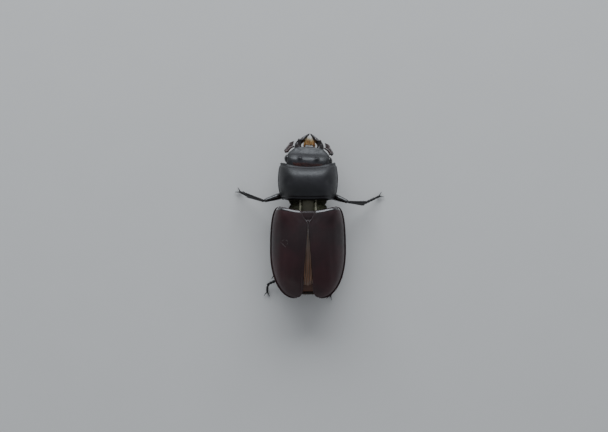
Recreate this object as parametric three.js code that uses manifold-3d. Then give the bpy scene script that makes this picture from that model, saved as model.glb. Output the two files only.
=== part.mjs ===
// A female stag beetle (Lucanus cervus), life size, standing still on six feet.
// Millimetres, +Z up. The head points to -Y, so the animal's right side is on -X.
// The origin is on the floor, under the middle of the beetle's box.
//
// Each shell plate, limb joint and mouthpart is a mesh of its own. Neighbours are cut back by each other's
// grown shape, which leaves a joint line of width JOINT_GAP. The feet are trimmed to small flats on the floor.
import * as THREE from "three";
import { mergeVertices } from "three/addons/utils/BufferGeometryUtils.js";
import Module from "manifold-3d";

const wasm = await Module();
wasm.setup();

// ---------------------------------------------------------------- driving dimensions
const JOINT_GAP = 0.12; // open line between two neighbouring pieces
const SHELL = 0.6; // thickness of a wing case

// Wing cases (elytra), from the shoulders to the tips.
const ELYTRA = {
  front: 0.95,
  back: 21.0,
  frontHalfWidth: 6.6,
  halfWidth: 8.55,
  widestAt: 0.47, // share of the length
  tipX: 2.85, // each wing case ends in its own rounded tip, this far from the middle
  scoop: 1.5, // how far the front edge is hollowed at the middle
  split: 0.86, // half the gap between the wing cases at the rear
  splitFrom: 0.15, // the gap starts at the tip of the scutellum
};
const PRONOTUM = {
  front: -9.5,
  back: -0.75,
  frontScoop: 1.25, // the front edge is hollowed for the head
  backScoop: 0.55, // the hind corners lie this far ahead of the middle
  edgeZ: 6.5,
};
const HEAD = { neck: [0, -8.9, 7.3], length: 4.6, pitch: 13, yaw: -3.5 };
const LEG = {
  femur: [0.62, 1.0, 0.62], // half thickness at the hip, the middle and the knee
  tibia: [0.36, 0.42, 0.5], // half thickness from the knee to the end
  tarsus: 0.3, // half thickness of a foot joint's waist
  claw: 0.26,
};

// ---------------------------------------------------------------- materials
const finish = (color, roughness) => new THREE.MeshStandardMaterial({ color, roughness, metalness: 0 });
const MATERIALS = {
  wingCase: finish("#2f1a1b", 0.25),
  blackShell: finish("#1c1a1d", 0.3),
  limb: finish("#191719", 0.35),
  wing: finish("#7a4a22", 0.45),
  tergite: finish("#5b3319", 0.6),
  belly: finish("#1d1815", 0.5),
  eye: finish("#0c0b0b", 0.1),
  brush: finish("#c07a22", 0.9),
};

const beetle = new THREE.Group();

// ---------------------------------------------------------------- curves and numbers
const { clamp, lerp, degToRad } = THREE.MathUtils;
const vector = (x, y, z) => new THREE.Vector3(x, y, z);

// A quarter round from 0 at share 0 to 1 at share 1. Bluntness 2 is a circle and more is boxier.
const rise = (share, bluntness = 2) => (1 - (1 - clamp(share, 0, 1)) ** bluntness) ** (1 / bluntness);

// A smooth curve through [share, value] pairs.
function through(...pairs) {
  const curve = new THREE.SplineCurve(pairs.map((pair) => new THREE.Vector2(...pair)));
  const points = curve.getPoints(pairs.length * 12);
  return (share) => {
    const next = points.findIndex((p) => p.x > share);
    if (next <= 0) return points[next < 0 ? points.length - 1 : 0].y;
    const [a, b] = [points[next - 1], points[next]];
    return lerp(a.y, b.y, (share - a.x) / (b.x - a.x));
  };
}

// Full in the middle of a limb, and rounded off over the shares "start" and "end" at its ends.
const roundEnds = (share, start, end) => rise(share / start) * rise((1 - share) / end);

// ---------------------------------------------------------------- solids
// A closed body: a sphere whose rows become rings. ringPoint(turn, share) has the turn round the ring, from
// 0 to 1, and the share of the length, from 0 to 1. Each pole closes the ring beside it at its middle.
function loft(around, rings, ringPoint) {
  const sphere = new THREE.SphereGeometry(1, around, rings + 1);
  const { position } = sphere.attributes;
  const shareOf = (row) => (1 - Math.cos((Math.PI * (row - 1)) / (rings - 1))) / 2;
  const pole = (share) => {
    const middle = vector(0, 0, 0);
    for (let i = 0; i < around; i++) middle.addScaledVector(ringPoint(i / around, share), 1 / around);
    return middle;
  };
  const poles = [pole(0), pole(1)];
  for (let i = 0; i < position.count; i++) {
    const row = Math.floor(i / (around + 1));
    const turn = ((i % (around + 1)) % around) / around;
    const point = row === 0 ? poles[0] : row > rings ? poles[1] : ringPoint(turn, shareOf(row));
    position.setXYZ(i, point.x, point.y, point.z);
  }
  return solid(sphere);
}

// A manifold solid of a closed geometry, whichever way its faces were wound.
function solid(geometry) {
  const bare = new THREE.BufferGeometry();
  bare.setAttribute("position", geometry.getAttribute("position"));
  bare.setIndex(geometry.index);
  const merged = mergeVertices(bare, 1e-4);
  const vertProperties = merged.attributes.position.array;
  const triVerts = new Uint32Array(merged.index.array);
  const make = () => new wasm.Manifold(new wasm.Mesh({ numProp: 3, vertProperties, triVerts }));
  const whole = make();
  if (whole.volume() > 0) return whole;
  triVerts.reverse();
  return make();
}

// The same solid mirrored to the animal's other side, or turned and moved by a matrix.
const moved = (whole, matrix) => whole.transform(matrix.elements);
const onSide = (side, whole) => (side > 0 ? whole : whole.mirror([1, 0, 0]));

function box(low, high) {
  const size = high.clone().sub(low);
  const middle = low.clone().addScaledVector(size, 0.5);
  return solid(new THREE.BoxGeometry(...size.toArray()).translate(...middle.toArray()));
}

const ellipsoid = (centre, radii, { grow = 0, around = 9, rings = 5 } = {}) =>
  loft(around, rings, (turn, share) => {
    const along = lerp(0.04, 0.96, share);
    const ring = Math.sin(Math.PI * along);
    const angle = 2 * Math.PI * turn;
    return vector(Math.cos(angle) * ring, -Math.cos(Math.PI * along), Math.sin(angle) * ring)
      .multiply(vector(...radii).addScalar(grow))
      .add(centre);
  });

// A limb along a smooth line of points. girth(share) is its half thickness across and towards "up".
function limb(points, girth, { around = 8, rings = 7, grow = 0, up = [0, 0, 1] } = {}) {
  const line = new THREE.CatmullRomCurve3(points.map((p) => vector(...p)));
  return loft(around, rings, (turn, share) => {
    const ahead = line.getTangentAt(share);
    const rising = vector(...up);
    rising.addScaledVector(ahead, -rising.dot(ahead)).normalize();
    const across = new THREE.Vector3().crossVectors(ahead, rising);
    const [wide, deep] = girth(share);
    return line
      .getPointAt(share)
      .addScaledVector(ahead, grow * (2 * share - 1))
      .addScaledVector(across, (wide + grow) * Math.cos(2 * Math.PI * turn))
      .addScaledVector(rising, (deep + grow) * Math.sin(2 * Math.PI * turn));
  });
}

// A four-sided spine from "root" towards "tip".
const spine = (root, tip, radius, grow = 0) =>
  limb([root, tip], (share) => [lerp(radius, 0.09, share), lerp(radius, 0.09, share)], {
    around: 4,
    rings: 2,
    grow,
    up: [0.3, 0.2, 1],
  });

const joined = (...wholes) => wholes.reduce((a, b) => a.add(b));
const underground = box(vector(-40, -40, -9), vector(40, 40, 0));

// Every piece is a function of "grow", so that a neighbour can be cut back by the grown shape. What is left
// of a piece is its largest body.
function addNode(name, shape, material, neighbours = []) {
  let whole = shape(0);
  for (const neighbour of neighbours) whole = whole.subtract(neighbour(JOINT_GAP));
  whole = whole.decompose().reduce((a, b) => (b.volume() > a.volume() ? b : a));
  const { vertProperties, triVerts } = whole.getMesh();
  const geometry = new THREE.BufferGeometry();
  geometry.setAttribute("position", new THREE.BufferAttribute(vertProperties, 3));
  geometry.setIndex(new THREE.BufferAttribute(triVerts, 1));
  geometry.computeVertexNormals();
  const mesh = new THREE.Mesh(geometry, material);
  mesh.name = name;
  beetle.add(mesh);
}

// ---------------------------------------------------------------- wing cases and back
const elytraCrest = through([0, 11.75], [0.03, 12.1], [0.12, 12.45], [0.4, 13.2], [0.62, 12.6], [0.8, 11.2], [0.93, 9.0], [1, 7.2]);
// The shoulders are boxier than the rest.
const elytraBluntness = (share) => 2.4 + 2.6 * clamp(1 - share / 0.35, 0, 1) ** 2;
const elytraEdge = through([0, 7.0], [0.12, 6.4], [0.5, 6.0], [0.85, 5.7], [1, 5.9]);

function elytraHalfWidth(share) {
  const { widestAt, frontHalfWidth, halfWidth, tipX } = ELYTRA;
  if (share < widestAt) return lerp(frontHalfWidth, halfWidth, rise(share / widestAt, 2.6));
  return lerp(tipX, halfWidth, rise((1 - share) / (1 - widestAt), 2.15));
}

// The inner edge of a wing case: closed behind the scutellum, then opening to the rear, with a rounded
// corner at the tip.
function elytraInnerEdge(share) {
  const { split, splitFrom, tipX } = ELYTRA;
  const open = JOINT_GAP / 2 + split * clamp((share - splitFrom) / (0.8 - splitFrom), 0, 1) ** 1.1;
  return lerp(open, tipX, 1 - rise((1 - share) / 0.13, 2.4));
}

// A point of the wing cases' outer surface, drawn in by "inset" all round.
function elytraSurface(x, share, inset) {
  const halfWidth = Math.max(elytraHalfWidth(share) - inset, 0.01);
  const edge = elytraEdge(share);
  const reach = clamp(Math.abs(x) / halfWidth, 0, 1);
  const y = lerp(ELYTRA.front + inset, ELYTRA.back - inset, share);
  const scoop = ELYTRA.scoop * (1 - reach ** 2) * (1 - share) ** 8;
  const height = Math.max(elytraCrest(share) - inset - edge, 0.05);
  return vector(x, y + scoop, edge + height * (1 - reach ** elytraBluntness(share)) ** 0.5);
}

// A dome from the height base(share) up to the wing-case surface, from inner(share) out to the side.
const elytraDome = ({ inner, inset, base, around = 14, rings = 12 }) =>
  loft(around, rings, (turn, share) => {
    const over = 0.75; // share of the ring that lies on the top surface
    const low = inner(share);
    const high = Math.max(elytraHalfWidth(share) - inset, low + 0.05);
    const across = low < 0 ? (1 - Math.cos((Math.PI * turn) / over)) / 2 : Math.sin((Math.PI * turn) / over / 2);
    if (turn <= over) return elytraSurface(lerp(low, high, across), share, inset);
    return elytraSurface(lerp(high, low, (turn - over) / (1 - over)), share, inset).setZ(base(share));
  });

// The whole dome inside both wing cases, down to base(share).
const underElytra = (inset, base) =>
  elytraDome({ inner: (share) => inset - elytraHalfWidth(share), inset, base, around: 16, rings: 8 });

// The scutellum lies flush between them. Grown, it reaches up through the wing cases.
const scutellum = (grow) =>
  loft(10, 8, (turn, share) => {
    const halfWidth = 1.5 * (1 - clamp((share - 0.2) / 0.8, 0, 1) ** 1.5) + 0.05;
    const y = lerp(1.15 - grow, 4.7 + grow, share);
    const flush = elytraCrest((y - ELYTRA.front - ELYTRA.scoop / 2) / (ELYTRA.back - ELYTRA.front)) - 0.1;
    const angle = 2 * Math.PI * turn;
    const up = Math.sin(angle);
    const z = flush - 0.4 + up * (up > 0 && grow > 0 ? 3 : 0.4 + grow);
    return vector(Math.cos(angle) * (halfWidth + grow), y, z);
  });

const elytraHollow = underElytra(SHELL, () => 3);
const elytron = (side) => () => {
  const outer = elytraDome({ inner: elytraInnerEdge, inset: 0, base: elytraEdge });
  return onSide(side, outer).subtract(elytraHollow);
};
addNode("elytron_left", elytron(1), MATERIALS.wingCase, [scutellum]);
addNode("elytron_right", elytron(-1), MATERIALS.wingCase, [scutellum]);
addNode("scutellum", scutellum, MATERIALS.blackShell);

// The folded hind wings lie on the back of the abdomen, and show through the gap.
const backLayer = (inset) => underElytra(SHELL + inset, elytraEdge);
const wingArea = box(vector(-2.6, 4.9, 5), vector(2.6, 18.9, 20));
const hindWings = () => backLayer(JOINT_GAP).intersect(wingArea).subtract(backLayer(0.65));
addNode("hind_wings", hindWings, MATERIALS.wing);
addNode("abdomen_back", () => backLayer(0.65 + JOINT_GAP), MATERIALS.tergite);

// ---------------------------------------------------------------- underside
// A keel-shaped body under the plates: flat on top at topZ, and a rounded belly.
const keel = ({ from, to, halfWidth, topZ, bottomZ, around = 11, rings = 5 }) => (grow) =>
  loft(around, rings, (turn, share) => {
    const wide = halfWidth(share) + grow;
    const top = topZ(share) + grow;
    const deep = top - bottomZ(share) + grow;
    const flat = 0.34; // share of the ring that lies on the top
    const y = lerp(from - grow, to + grow, share);
    if (turn < flat) return vector(lerp(-wide, wide, turn / flat), y, top);
    const angle = (Math.PI * (turn - flat)) / (1 - flat);
    return vector(wide * Math.cos(angle), y, top - deep * Math.sin(angle) ** 0.9);
  });

const below = (y) => elytraEdge((y - ELYTRA.front) / (ELYTRA.back - ELYTRA.front)) - JOINT_GAP;
const metasternum = keel({
  from: 1.0,
  to: 8.6,
  halfWidth: through([0, 6.0], [0.3, 7.1], [1, 7.6]),
  topZ: (share) => below(lerp(1.0, 8.6, share)),
  bottomZ: through([0, 2.6], [0.3, 2.1], [1, 2.2]),
});
const abdomenBelly = keel({
  from: 8.6 + JOINT_GAP,
  to: 20.1,
  halfWidth: through([0, 7.6], [0.4, 7.4], [0.75, 6.0], [1, 2.6]),
  topZ: (share) => below(lerp(8.6 + JOINT_GAP, 20.1, share)),
  bottomZ: through([0, 2.3], [0.5, 2.4], [0.85, 3.2], [1, 4.4]),
  rings: 7,
});
const mesothorax = (grow) =>
  limb([[0, -1.0, 6.3], [0, 0.8, 6.3]], () => [4.4, 3.5], { around: 16, rings: 3, grow });
const prosternum = keel({
  from: -8.9,
  to: -1.1,
  halfWidth: through([0, 4.8], [0.4, 6.0], [0.75, 5.9], [1, 4.6]),
  topZ: () => PRONOTUM.edgeZ - JOINT_GAP,
  bottomZ: through([0, 4.4], [0.35, 3.0], [0.8, 2.6], [1, 3.2]),
  rings: 6,
});

// ---------------------------------------------------------------- pronotum
const pronotumHalfWidth = through([0, 5.9], [0.1, 6.4], [0.3, 6.64], [0.5, 6.66], [0.75, 6.45], [0.93, 6.0], [1, 5.6]);
const pronotumCrest = through([0, 9.3], [0.1, 10.5], [0.35, 11.6], [0.65, 11.8], [0.92, 11.0], [1, 10.2]);
const pronotum = (grow) =>
  loft(18, 9, (turn, share) => {
    const { front, back, frontScoop, backScoop, edgeZ } = PRONOTUM;
    const over = 0.7;
    const halfWidth = pronotumHalfWidth(share) + grow;
    const onTop = turn <= over;
    const across = onTop ? -Math.cos((Math.PI * turn) / over) : lerp(1, -1, (turn - over) / (1 - over));
    const ahead = frontScoop * (1 - across ** 2) * (1 - share) ** 3;
    const behind = backScoop * across ** 2 * share ** 3;
    const y = lerp(front - grow, back + grow, share) + ahead - behind;
    const height = pronotumCrest(share) - edgeZ + grow;
    const z = onTop ? edgeZ + height * (1 - Math.abs(across) ** 2.6) ** 0.5 : edgeZ - grow;
    return vector(across * halfWidth, y, z);
  });
addNode("pronotum", pronotum, MATERIALS.blackShell);
addNode("mesothorax", mesothorax, MATERIALS.blackShell, [scutellum, pronotum]);

// ---------------------------------------------------------------- head, in a frame of its own
const headFrame = new THREE.Matrix4()
  .makeTranslation(...HEAD.neck)
  .multiply(new THREE.Matrix4().makeRotationZ(degToRad(HEAD.yaw)))
  .multiply(new THREE.Matrix4().makeRotationX(degToRad(HEAD.pitch)));
const inHead = (shape) => (grow) => moved(shape(grow), headFrame);

const headHalfWidth = through([0, 4.3], [0.3, 4.9], [0.5, 5.1], [0.65, 4.8], [0.82, 4.2], [0.94, 3.5], [1, 2.9]);
const headTop = through([0, 2.4], [0.35, 2.2], [0.7, 1.25], [1, 0.42]);
const headBottom = through([0, 2.2], [0.4, 2.3], [0.8, 1.7], [1, 1.0]);
const headCapsule = (grow) =>
  loft(14, 7, (turn, share) => {
    const angle = 2 * Math.PI * turn;
    const [c, s] = [Math.cos(angle), Math.sin(angle)];
    const x = (headHalfWidth(share) + grow) * Math.sign(c) * Math.abs(c) ** 0.8;
    const deep = (s > 0 ? headTop(share) : headBottom(share)) + grow;
    return vector(x, lerp(1.6 + grow, -HEAD.length - grow, share), deep * Math.sign(s) * Math.abs(s) ** 0.85);
  });
const eye = (side) => (grow) => ellipsoid(vector(side * 4.65, -1.35, 0.05), [0.85, 1.0, 0.9], { grow });
const labrum = (grow) =>
  limb([[0, -4.5, 0.1], [0, -5.15, -0.1]], () => [1.2, 0.34], { around: 10, rings: 3, grow });
const mandible = (side) => (grow) => {
  const girth = through([0, 0.95], [0.35, 0.7], [0.75, 0.4], [1, 0.2]);
  const depth = through([0, 0.8], [0.5, 0.62], [1, 0.22]);
  const line = [[2.4, -3.8, -0.5], [2.5, -5.2, -0.42], [1.42, -6.6, -0.28], [0.22, -7.75, -0.1]];
  const blade = limb(line, (share) => [girth(share), depth(share)], { around: 8, rings: 6, grow });
  if (grow > 0) return onSide(side, blade);
  const inward = spine([1.95, -5.65, -0.15], [0.95, -6.1, 0.0], 0.38);
  const upward = spine([1.9, -5.9, 0.0], [1.45, -6.45, 0.7], 0.32);
  return onSide(side, joined(blade, inward, upward));
};
const mouthBrush = (grow) =>
  limb([[0, -4.3, -0.75], [0, -5.7, -0.7], [0, -6.8, -0.55]], (share) => [lerp(1.35, 0.6, share), 0.36], {
    rings: 4,
    grow,
  });
const mentum = (grow) =>
  limb([[0, -1.3, -2.35], [0, -3.0, -2.05], [0, -4.4, -1.55]], (share) => [lerp(2.3, 1.5, share), 0.4], {
    around: 10,
    rings: 5,
    grow,
  });
const palp = (side) => (grow) => {
  const line = [[1.7, -4.1, -1.6], [2.4, -5.0, -1.9], [2.7, -6.0, -1.75], [2.3, -6.9, -1.55]];
  const beads = (share) => 0.27 + 0.07 * Math.sin(Math.PI * 3 * share) ** 2;
  return onSide(side, limb(line, (share) => [beads(share), beads(share)], { around: 6, rings: 6, grow }));
};

// The feeler leaves the head beside the mandible, folds back along its edge to the elbow, then points forward
// to a comb of leaves.
const antenna = (side) => (grow) => {
  const round = (radius) => (share) => [radius(share), radius(share)];
  const scape = limb(
    [[3.5, -4.6, -0.5], [4.3, -4.1, -0.45], [5.1, -3.15, -0.55]],
    round((share) => lerp(0.26, 0.36, share)),
    { around: 6, rings: 3, grow },
  );
  if (grow > 0) return onSide(side, scape);
  const funicle = limb(
    [[5.1, -3.1, -0.6], [5.4, -3.6, -1.0], [5.1, -4.3, -1.35], [4.7, -4.95, -1.6]],
    round(() => 0.27),
    { around: 5, rings: 5 },
  );
  const leaves = [0, 1, 2].map((i) =>
    spine([4.75 - 0.15 * i, -4.75 - 0.5 * i, -1.5 - 0.14 * i], [3.8 - 0.2 * i, -5.1 - 0.5 * i, -1.65 - 0.14 * i], 0.27),
  );
  const club = limb([[4.85, -4.6, -1.45], [4.4, -6.05, -1.9]], round(() => 0.27), { around: 5, rings: 2 });
  return onSide(side, joined(scape, funicle, club, ...leaves));
};

const SIDES = [["left", 1], ["right", -1]];
const head = inHead(headCapsule);
const mandibles = SIDES.map(([, side]) => inHead(mandible(side)));
const eyes = SIDES.map(([, side]) => inHead(eye(side)));
const antennae = SIDES.map(([, side]) => inHead(antenna(side)));
const neighboursOfHead = [pronotum, prosternum, inHead(labrum), inHead(mentum), ...eyes, ...mandibles, ...antennae];
addNode("head", head, MATERIALS.blackShell, neighboursOfHead);
addNode("labrum", inHead(labrum), MATERIALS.blackShell, mandibles);
addNode("mentum", inHead(mentum), MATERIALS.blackShell, [prosternum]);
addNode("mouth_brush", inHead(mouthBrush), MATERIALS.brush, [head, inHead(labrum), inHead(mentum), ...mandibles]);
SIDES.forEach(([name, side], i) => {
  addNode(`eye_${name}`, eyes[i], MATERIALS.eye, [pronotum, antennae[i]]);
  addNode(`mandible_${name}`, mandibles[i], MATERIALS.blackShell, i ? [mandibles[0]] : []);
  addNode(`antenna_${name}`, antennae[i], MATERIALS.limb, [mandibles[i]]);
  addNode(`palp_${name}`, inHead(palp(side)), MATERIALS.limb, [head, inHead(mentum), mandibles[i]]);
});

// ---------------------------------------------------------------- legs
// hip, knee, ankle and toe of each leg, at their real places. "teeth" are the thorns on the tibia's outer edge.
const LEGS = {
  front_left: { hip: [2.4, -3.6, 3.3], knee: [10.0, -0.85, 6.9], ankle: [13.9, -2.6, 2.5], toe: [15.75, -3.75, 0.2] },
  front_right: { hip: [-2.4, -3.6, 3.3], knee: [-9.15, -0.6, 6.9], ankle: [-12.8, -0.75, 2.5], toe: [-16.5, -2.7, 0.2] },
  middle_left: { hip: [2.6, 2.6, 3.0], knee: [7.8, 7.2, 4.4], ankle: [7.3, 12.0, 1.6], toe: [7.6, 15.6, 0.2] },
  middle_right: { hip: [-2.6, 2.6, 3.0], knee: [-7.8, 7.0, 4.4], ankle: [-7.4, 11.8, 1.6], toe: [-7.3, 15.4, 0.2] },
  hind_left: { hip: [2.4, 9.4, 2.8], knee: [8.0, 13.2, 4.5], ankle: [6.5, 16.7, 1.4], toe: [9.3, 19.5, 0.2], bend: [1.1, -0.45] },
  hind_right: { hip: [-2.4, 9.4, 2.8], knee: [-8.0, 13.2, 4.5], ankle: [-6.4, 16.8, 1.4], toe: [-5.1, 20.3, 0.2] },
};

function leg(name, { hip, knee, ankle, toe, bend = [0, 0] }) {
  const [h, k, a, t] = [hip, knee, ankle, toe].map((p) => vector(...p));
  const isFront = name.startsWith("front");
  const outward = vector(Math.sign(h.x), 0, 0);
  const edge = isFront ? vector(0, -0.25, 1) : vector(outward.x, 0.2, 0.5);
  const bow = (from, to, lift) => from.clone().lerp(to, 0.5).addScaledVector(vector(0, 0, 1), lift).toArray();
  const coxa = (grow) => ellipsoid(h.clone().add(vector(0, 0, -0.2)), [1.25, 1.0, 1.0], { grow, around: 6, rings: 3 });
  const girth = through([0, LEG.femur[0]], [0.5, LEG.femur[1]], [0.9, LEG.femur[2]], [1, LEG.femur[2] * 0.8]);
  const femur = (grow) =>
    limb([h.toArray(), bow(h, k, 0.1), k.toArray()], (share) => [girth(share) * 0.8, girth(share)], { grow, around: 7, rings: 5 });
  const width = through([0, LEG.tibia[0]], [0.5, LEG.tibia[1]], [1, LEG.tibia[2]]);
  const flat = isFront ? 1.7 : 1.35;
  const teeth = isFront ? [0.38, 0.58, 0.78] : [0.55];
  const tibia = (grow) => {
    const rod = limb([k.toArray(), bow(k, a, 0.12), a.toArray()], (share) => [width(share), width(share) * lerp(1, flat, share)], {
      grow,
      up: edge.toArray(),
      rings: 5,
    });
    if (grow > 0) return rod;
    const along = a.clone().sub(k).normalize();
    const out = edge.clone().addScaledVector(along, -edge.dot(along)).normalize();
    const thorn = (share, length, direction) => {
      const root = k.clone().lerp(a, share);
      const tip = root.clone().addScaledVector(direction, length).addScaledVector(along, length * 0.35);
      return spine(root.toArray(), tip.toArray(), 0.3);
    };
    const thorns = teeth.map((share) => thorn(share, isFront ? 1.25 : 1.0, out));
    return joined(rod, ...thorns, thorn(0.9, isFront ? 1.3 : 0.9, out));
  };
  const rim = (share) => 0.5 - 0.5 * Math.cos(2 * Math.PI * (5 * share - 0.5));
  const tarsus = (grow) => {
    const drop = t.clone().setZ(0.3);
    const middle = vector(...bow(a, drop, 0.25)).add(vector(...bend, 0));
    const foot = limb([a.toArray(), middle.toArray(), drop.toArray()], (share) => {
      const radius = LEG.tarsus + 0.1 * rim(share);
      return [radius, radius];
    }, { around: 6, rings: 8, grow });
    const ahead = drop.clone().sub(middle).setZ(0).normalize();
    const sideways = vector(-ahead.y, ahead.x, 0);
    const claw = (turn) => {
      const reach = (forward, aside, z) => drop.clone().addScaledVector(ahead, forward).addScaledVector(sideways, turn * aside).setZ(z).toArray();
      return limb([reach(-0.1, 0, 0.35), reach(0.45, 0.38, 0.5), reach(0.85, 0.62, 0.15)], (share) => {
        const radius = lerp(LEG.claw, 0.2, share);
        return [radius, radius];
      }, { around: 5, rings: 3, grow });
    };
    return joined(foot, claw(1), claw(-1)).subtract(underground);
  };
  return { coxa, femur, tibia, tarsus };
}

const legs = Object.entries(LEGS).map(([name, joints]) => [name, leg(name, joints)]);
const coxae = legs.map(([, parts]) => parts.coxa);
const femora = legs.map(([, parts]) => parts.femur);
addNode("prosternum", prosternum, MATERIALS.blackShell, [...coxae, ...femora]);
addNode("metasternum", metasternum, MATERIALS.belly, [...coxae, ...femora, mesothorax]);
addNode("abdomen_belly", abdomenBelly, MATERIALS.belly, [...coxae, ...femora]);
for (const [name, { coxa, femur, tibia, tarsus }] of legs) {
  addNode(`coxa_${name}`, coxa, MATERIALS.limb, [femur]);
  addNode(`femur_${name}`, femur, MATERIALS.limb);
  addNode(`tibia_${name}`, tibia, MATERIALS.limb, [femur]);
  addNode(`tarsus_${name}`, tarsus, MATERIALS.limb, [tibia]);
}

// ---------------------------------------------------------------- origin under the middle of the box
const bounds = new THREE.Box3().setFromObject(beetle);
const middle = bounds.getCenter(new THREE.Vector3());
for (const mesh of beetle.children) mesh.geometry.translate(-middle.x, -middle.y, -bounds.min.z);

export default beetle;
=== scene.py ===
"""A female stag beetle, life size, as a still model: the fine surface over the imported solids."""

import math

import bmesh
import bpy
import numpy as np
from bpy.props import FloatProperty, FloatVectorProperty, IntProperty, PointerProperty
from mathutils import Matrix, Vector


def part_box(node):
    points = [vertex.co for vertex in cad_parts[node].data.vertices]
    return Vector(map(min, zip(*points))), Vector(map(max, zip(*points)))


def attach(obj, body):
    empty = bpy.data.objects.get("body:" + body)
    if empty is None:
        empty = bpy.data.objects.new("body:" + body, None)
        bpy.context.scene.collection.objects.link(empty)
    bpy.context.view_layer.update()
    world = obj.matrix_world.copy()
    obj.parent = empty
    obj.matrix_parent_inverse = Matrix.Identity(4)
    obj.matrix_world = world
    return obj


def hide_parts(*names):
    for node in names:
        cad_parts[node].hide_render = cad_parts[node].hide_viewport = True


bl_info = {
    "name": "Stag Beetle",
    "version": (1, 0, 0),
    "blender": (4, 5, 0),
    "location": "View3D > Sidebar > Stag Beetle",
    "description": "Builds a life-size female stag beetle with its shell, limbs, hair and a plain studio",
    "category": "Object",
}

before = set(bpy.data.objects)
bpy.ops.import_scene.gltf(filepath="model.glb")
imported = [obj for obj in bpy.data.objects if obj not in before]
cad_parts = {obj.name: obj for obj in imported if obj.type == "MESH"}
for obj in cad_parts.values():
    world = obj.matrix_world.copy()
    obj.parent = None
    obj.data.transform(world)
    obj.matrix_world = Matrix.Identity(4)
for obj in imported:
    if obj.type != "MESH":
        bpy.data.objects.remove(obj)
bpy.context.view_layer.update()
MM = 0.001
WELD = 1e-7  # Points closer than this, in metres, become one.

# Sizes shared by several plates, in millimetres. The head points to -Y and the left side is +X.
ELYTRA = {"front": 0.7, "back": 21.0, "front_half": 6.7, "half": 8.55, "widest": 0.47, "tip": 2.85,
          "scoop": 1.35, "split": 1.03, "split_from": 0.15, "split_to": 0.8}
ELYTRA_LENGTH = ELYTRA["back"] - ELYTRA["front"]
# Rows of points round the front lip of a wing case and over its dome, and points across the dome.
LIP_ROWS, CASE_ROWS, CASE_ACROSS = 9, 120, 72
SCUTELLUM = {"front": 1.95, "back": 4.68, "half": 1.5, "root": 1.15, "taper": 3.55, "gap_end": 4.82, "sunk": 0.14}
PRONOTUM = {"front": -9.5, "back": -0.75, "front_scoop": 1.25, "back_scoop": 0.55, "edge": 6.5, "over": 0.7}
HEAD = {"neck": (0, -8.9, 7.3), "length": 4.6, "pitch": 13, "yaw": -3.5}
# Hip, knee, ankle, middle of the foot and toe of each leg.
LEGS = {
    "front_left": ((2.4, -3.6, 3.3), (10.0, -0.85, 6.9), (13.9, -2.6, 2.5), (14.82, -3.17, 1.65),
                   (15.75, -3.75, 0.3)),
    "front_right": ((-2.4, -3.6, 3.3), (-9.15, -0.6, 6.9), (-12.8, -0.75, 2.5), (-14.65, -1.72, 1.65),
                    (-16.5, -2.7, 0.3)),
    "middle_left": ((2.6, 2.6, 3.0), (7.8, 7.2, 4.4), (7.3, 12.0, 1.6), (7.45, 13.8, 1.2), (7.6, 15.6, 0.3)),
    "middle_right": ((-2.6, 2.6, 3.0), (-7.8, 7.0, 4.4), (-7.4, 11.8, 1.6), (-7.35, 13.6, 1.2), (-7.3, 15.4, 0.3)),
    "hind_left": ((2.4, 9.4, 2.8), (8.0, 13.2, 4.5), (6.5, 16.7, 1.4), (9.0, 17.65, 1.1), (9.3, 19.5, 0.3)),
    "hind_right": ((-2.4, 9.4, 2.8), (-8.0, 13.2, 4.5), (-6.4, 16.8, 1.4), (-5.75, 18.55, 1.1), (-5.1, 20.3, 0.3)),
}
SIDES = (("left", 1), ("right", -1))
# Scratches on the left wing case, from and to (x, y).
SCRATCHES = (((6.2, 8.85), (4.85, 10.2)), ((6.0, 8.8), (5.3, 8.4)), ((5.1, 8.4), (4.45, 8.85)),
             ((4.5, 9.1), (4.75, 9.65)))
# Levels along a hair, from under the skin to the tip: share of its length and share of its thickness.
HAIR_LEVELS = ((-0.08, 1.0), (0.4, 0.85), (0.75, 0.5), (1.0, 0.12))
HAIR_BEND = 0.35  # How far a hair bows towards the skin, as a share of its length.
HAIR_PATCH = 0.003  # Side of the patch that a hair takes on the unwrap.
# Lights: name, azimuth and elevation in degrees, distance and size in metres, share of the power, colour.
LAMPS = (
    ("head_softbox", 0, 28, 0.5, (0.66, 0.26), 1.0, (0.88, 0.94, 1.0)),
    ("rear_softbox", 150, 9, 0.6, (0.5, 0.14), 0.07, (1.0, 0.96, 0.9)),
    ("side_softbox", -100, 8, 0.6, (0.5, 0.12), 0.03, (0.92, 0.95, 1.0)),
)


# ---------------------------------------------------------------- numbers and curves
def srgb(code):
    """The linear colour of an sRGB hex code."""
    parts = [int(code[i : i + 2], 16) / 255 for i in (1, 3, 5)]
    return tuple(c / 12.92 if c <= 0.04045 else ((c + 0.055) / 1.055) ** 2.4 for c in parts)


def rise(share, bluntness=2.0):
    """A quarter round from 0 at share 0 to 1 at share 1, boxier as bluntness grows."""
    return (1 - (1 - np.clip(share, 0, 1)) ** bluntness) ** (1 / bluntness)


def mix(low, high, share):
    return low + (high - low) * share


def bump(x, middle, width):
    """A smooth hump of height 1."""
    return np.exp(-(((x - middle) / width) ** 2))


def circle(turn):
    """Cosine and sine of a turn that counts from 0 to 1."""
    return np.cos(2 * np.pi * turn), np.sin(2 * np.pi * turn)


def closer_at_ends(count, skew=1.0):
    """Shares from 0 to 1, closer together at both ends. skew below 1 moves them towards 1."""
    return (1 - np.cos(np.pi * np.linspace(0, 1, count) ** skew)) / 2


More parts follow.
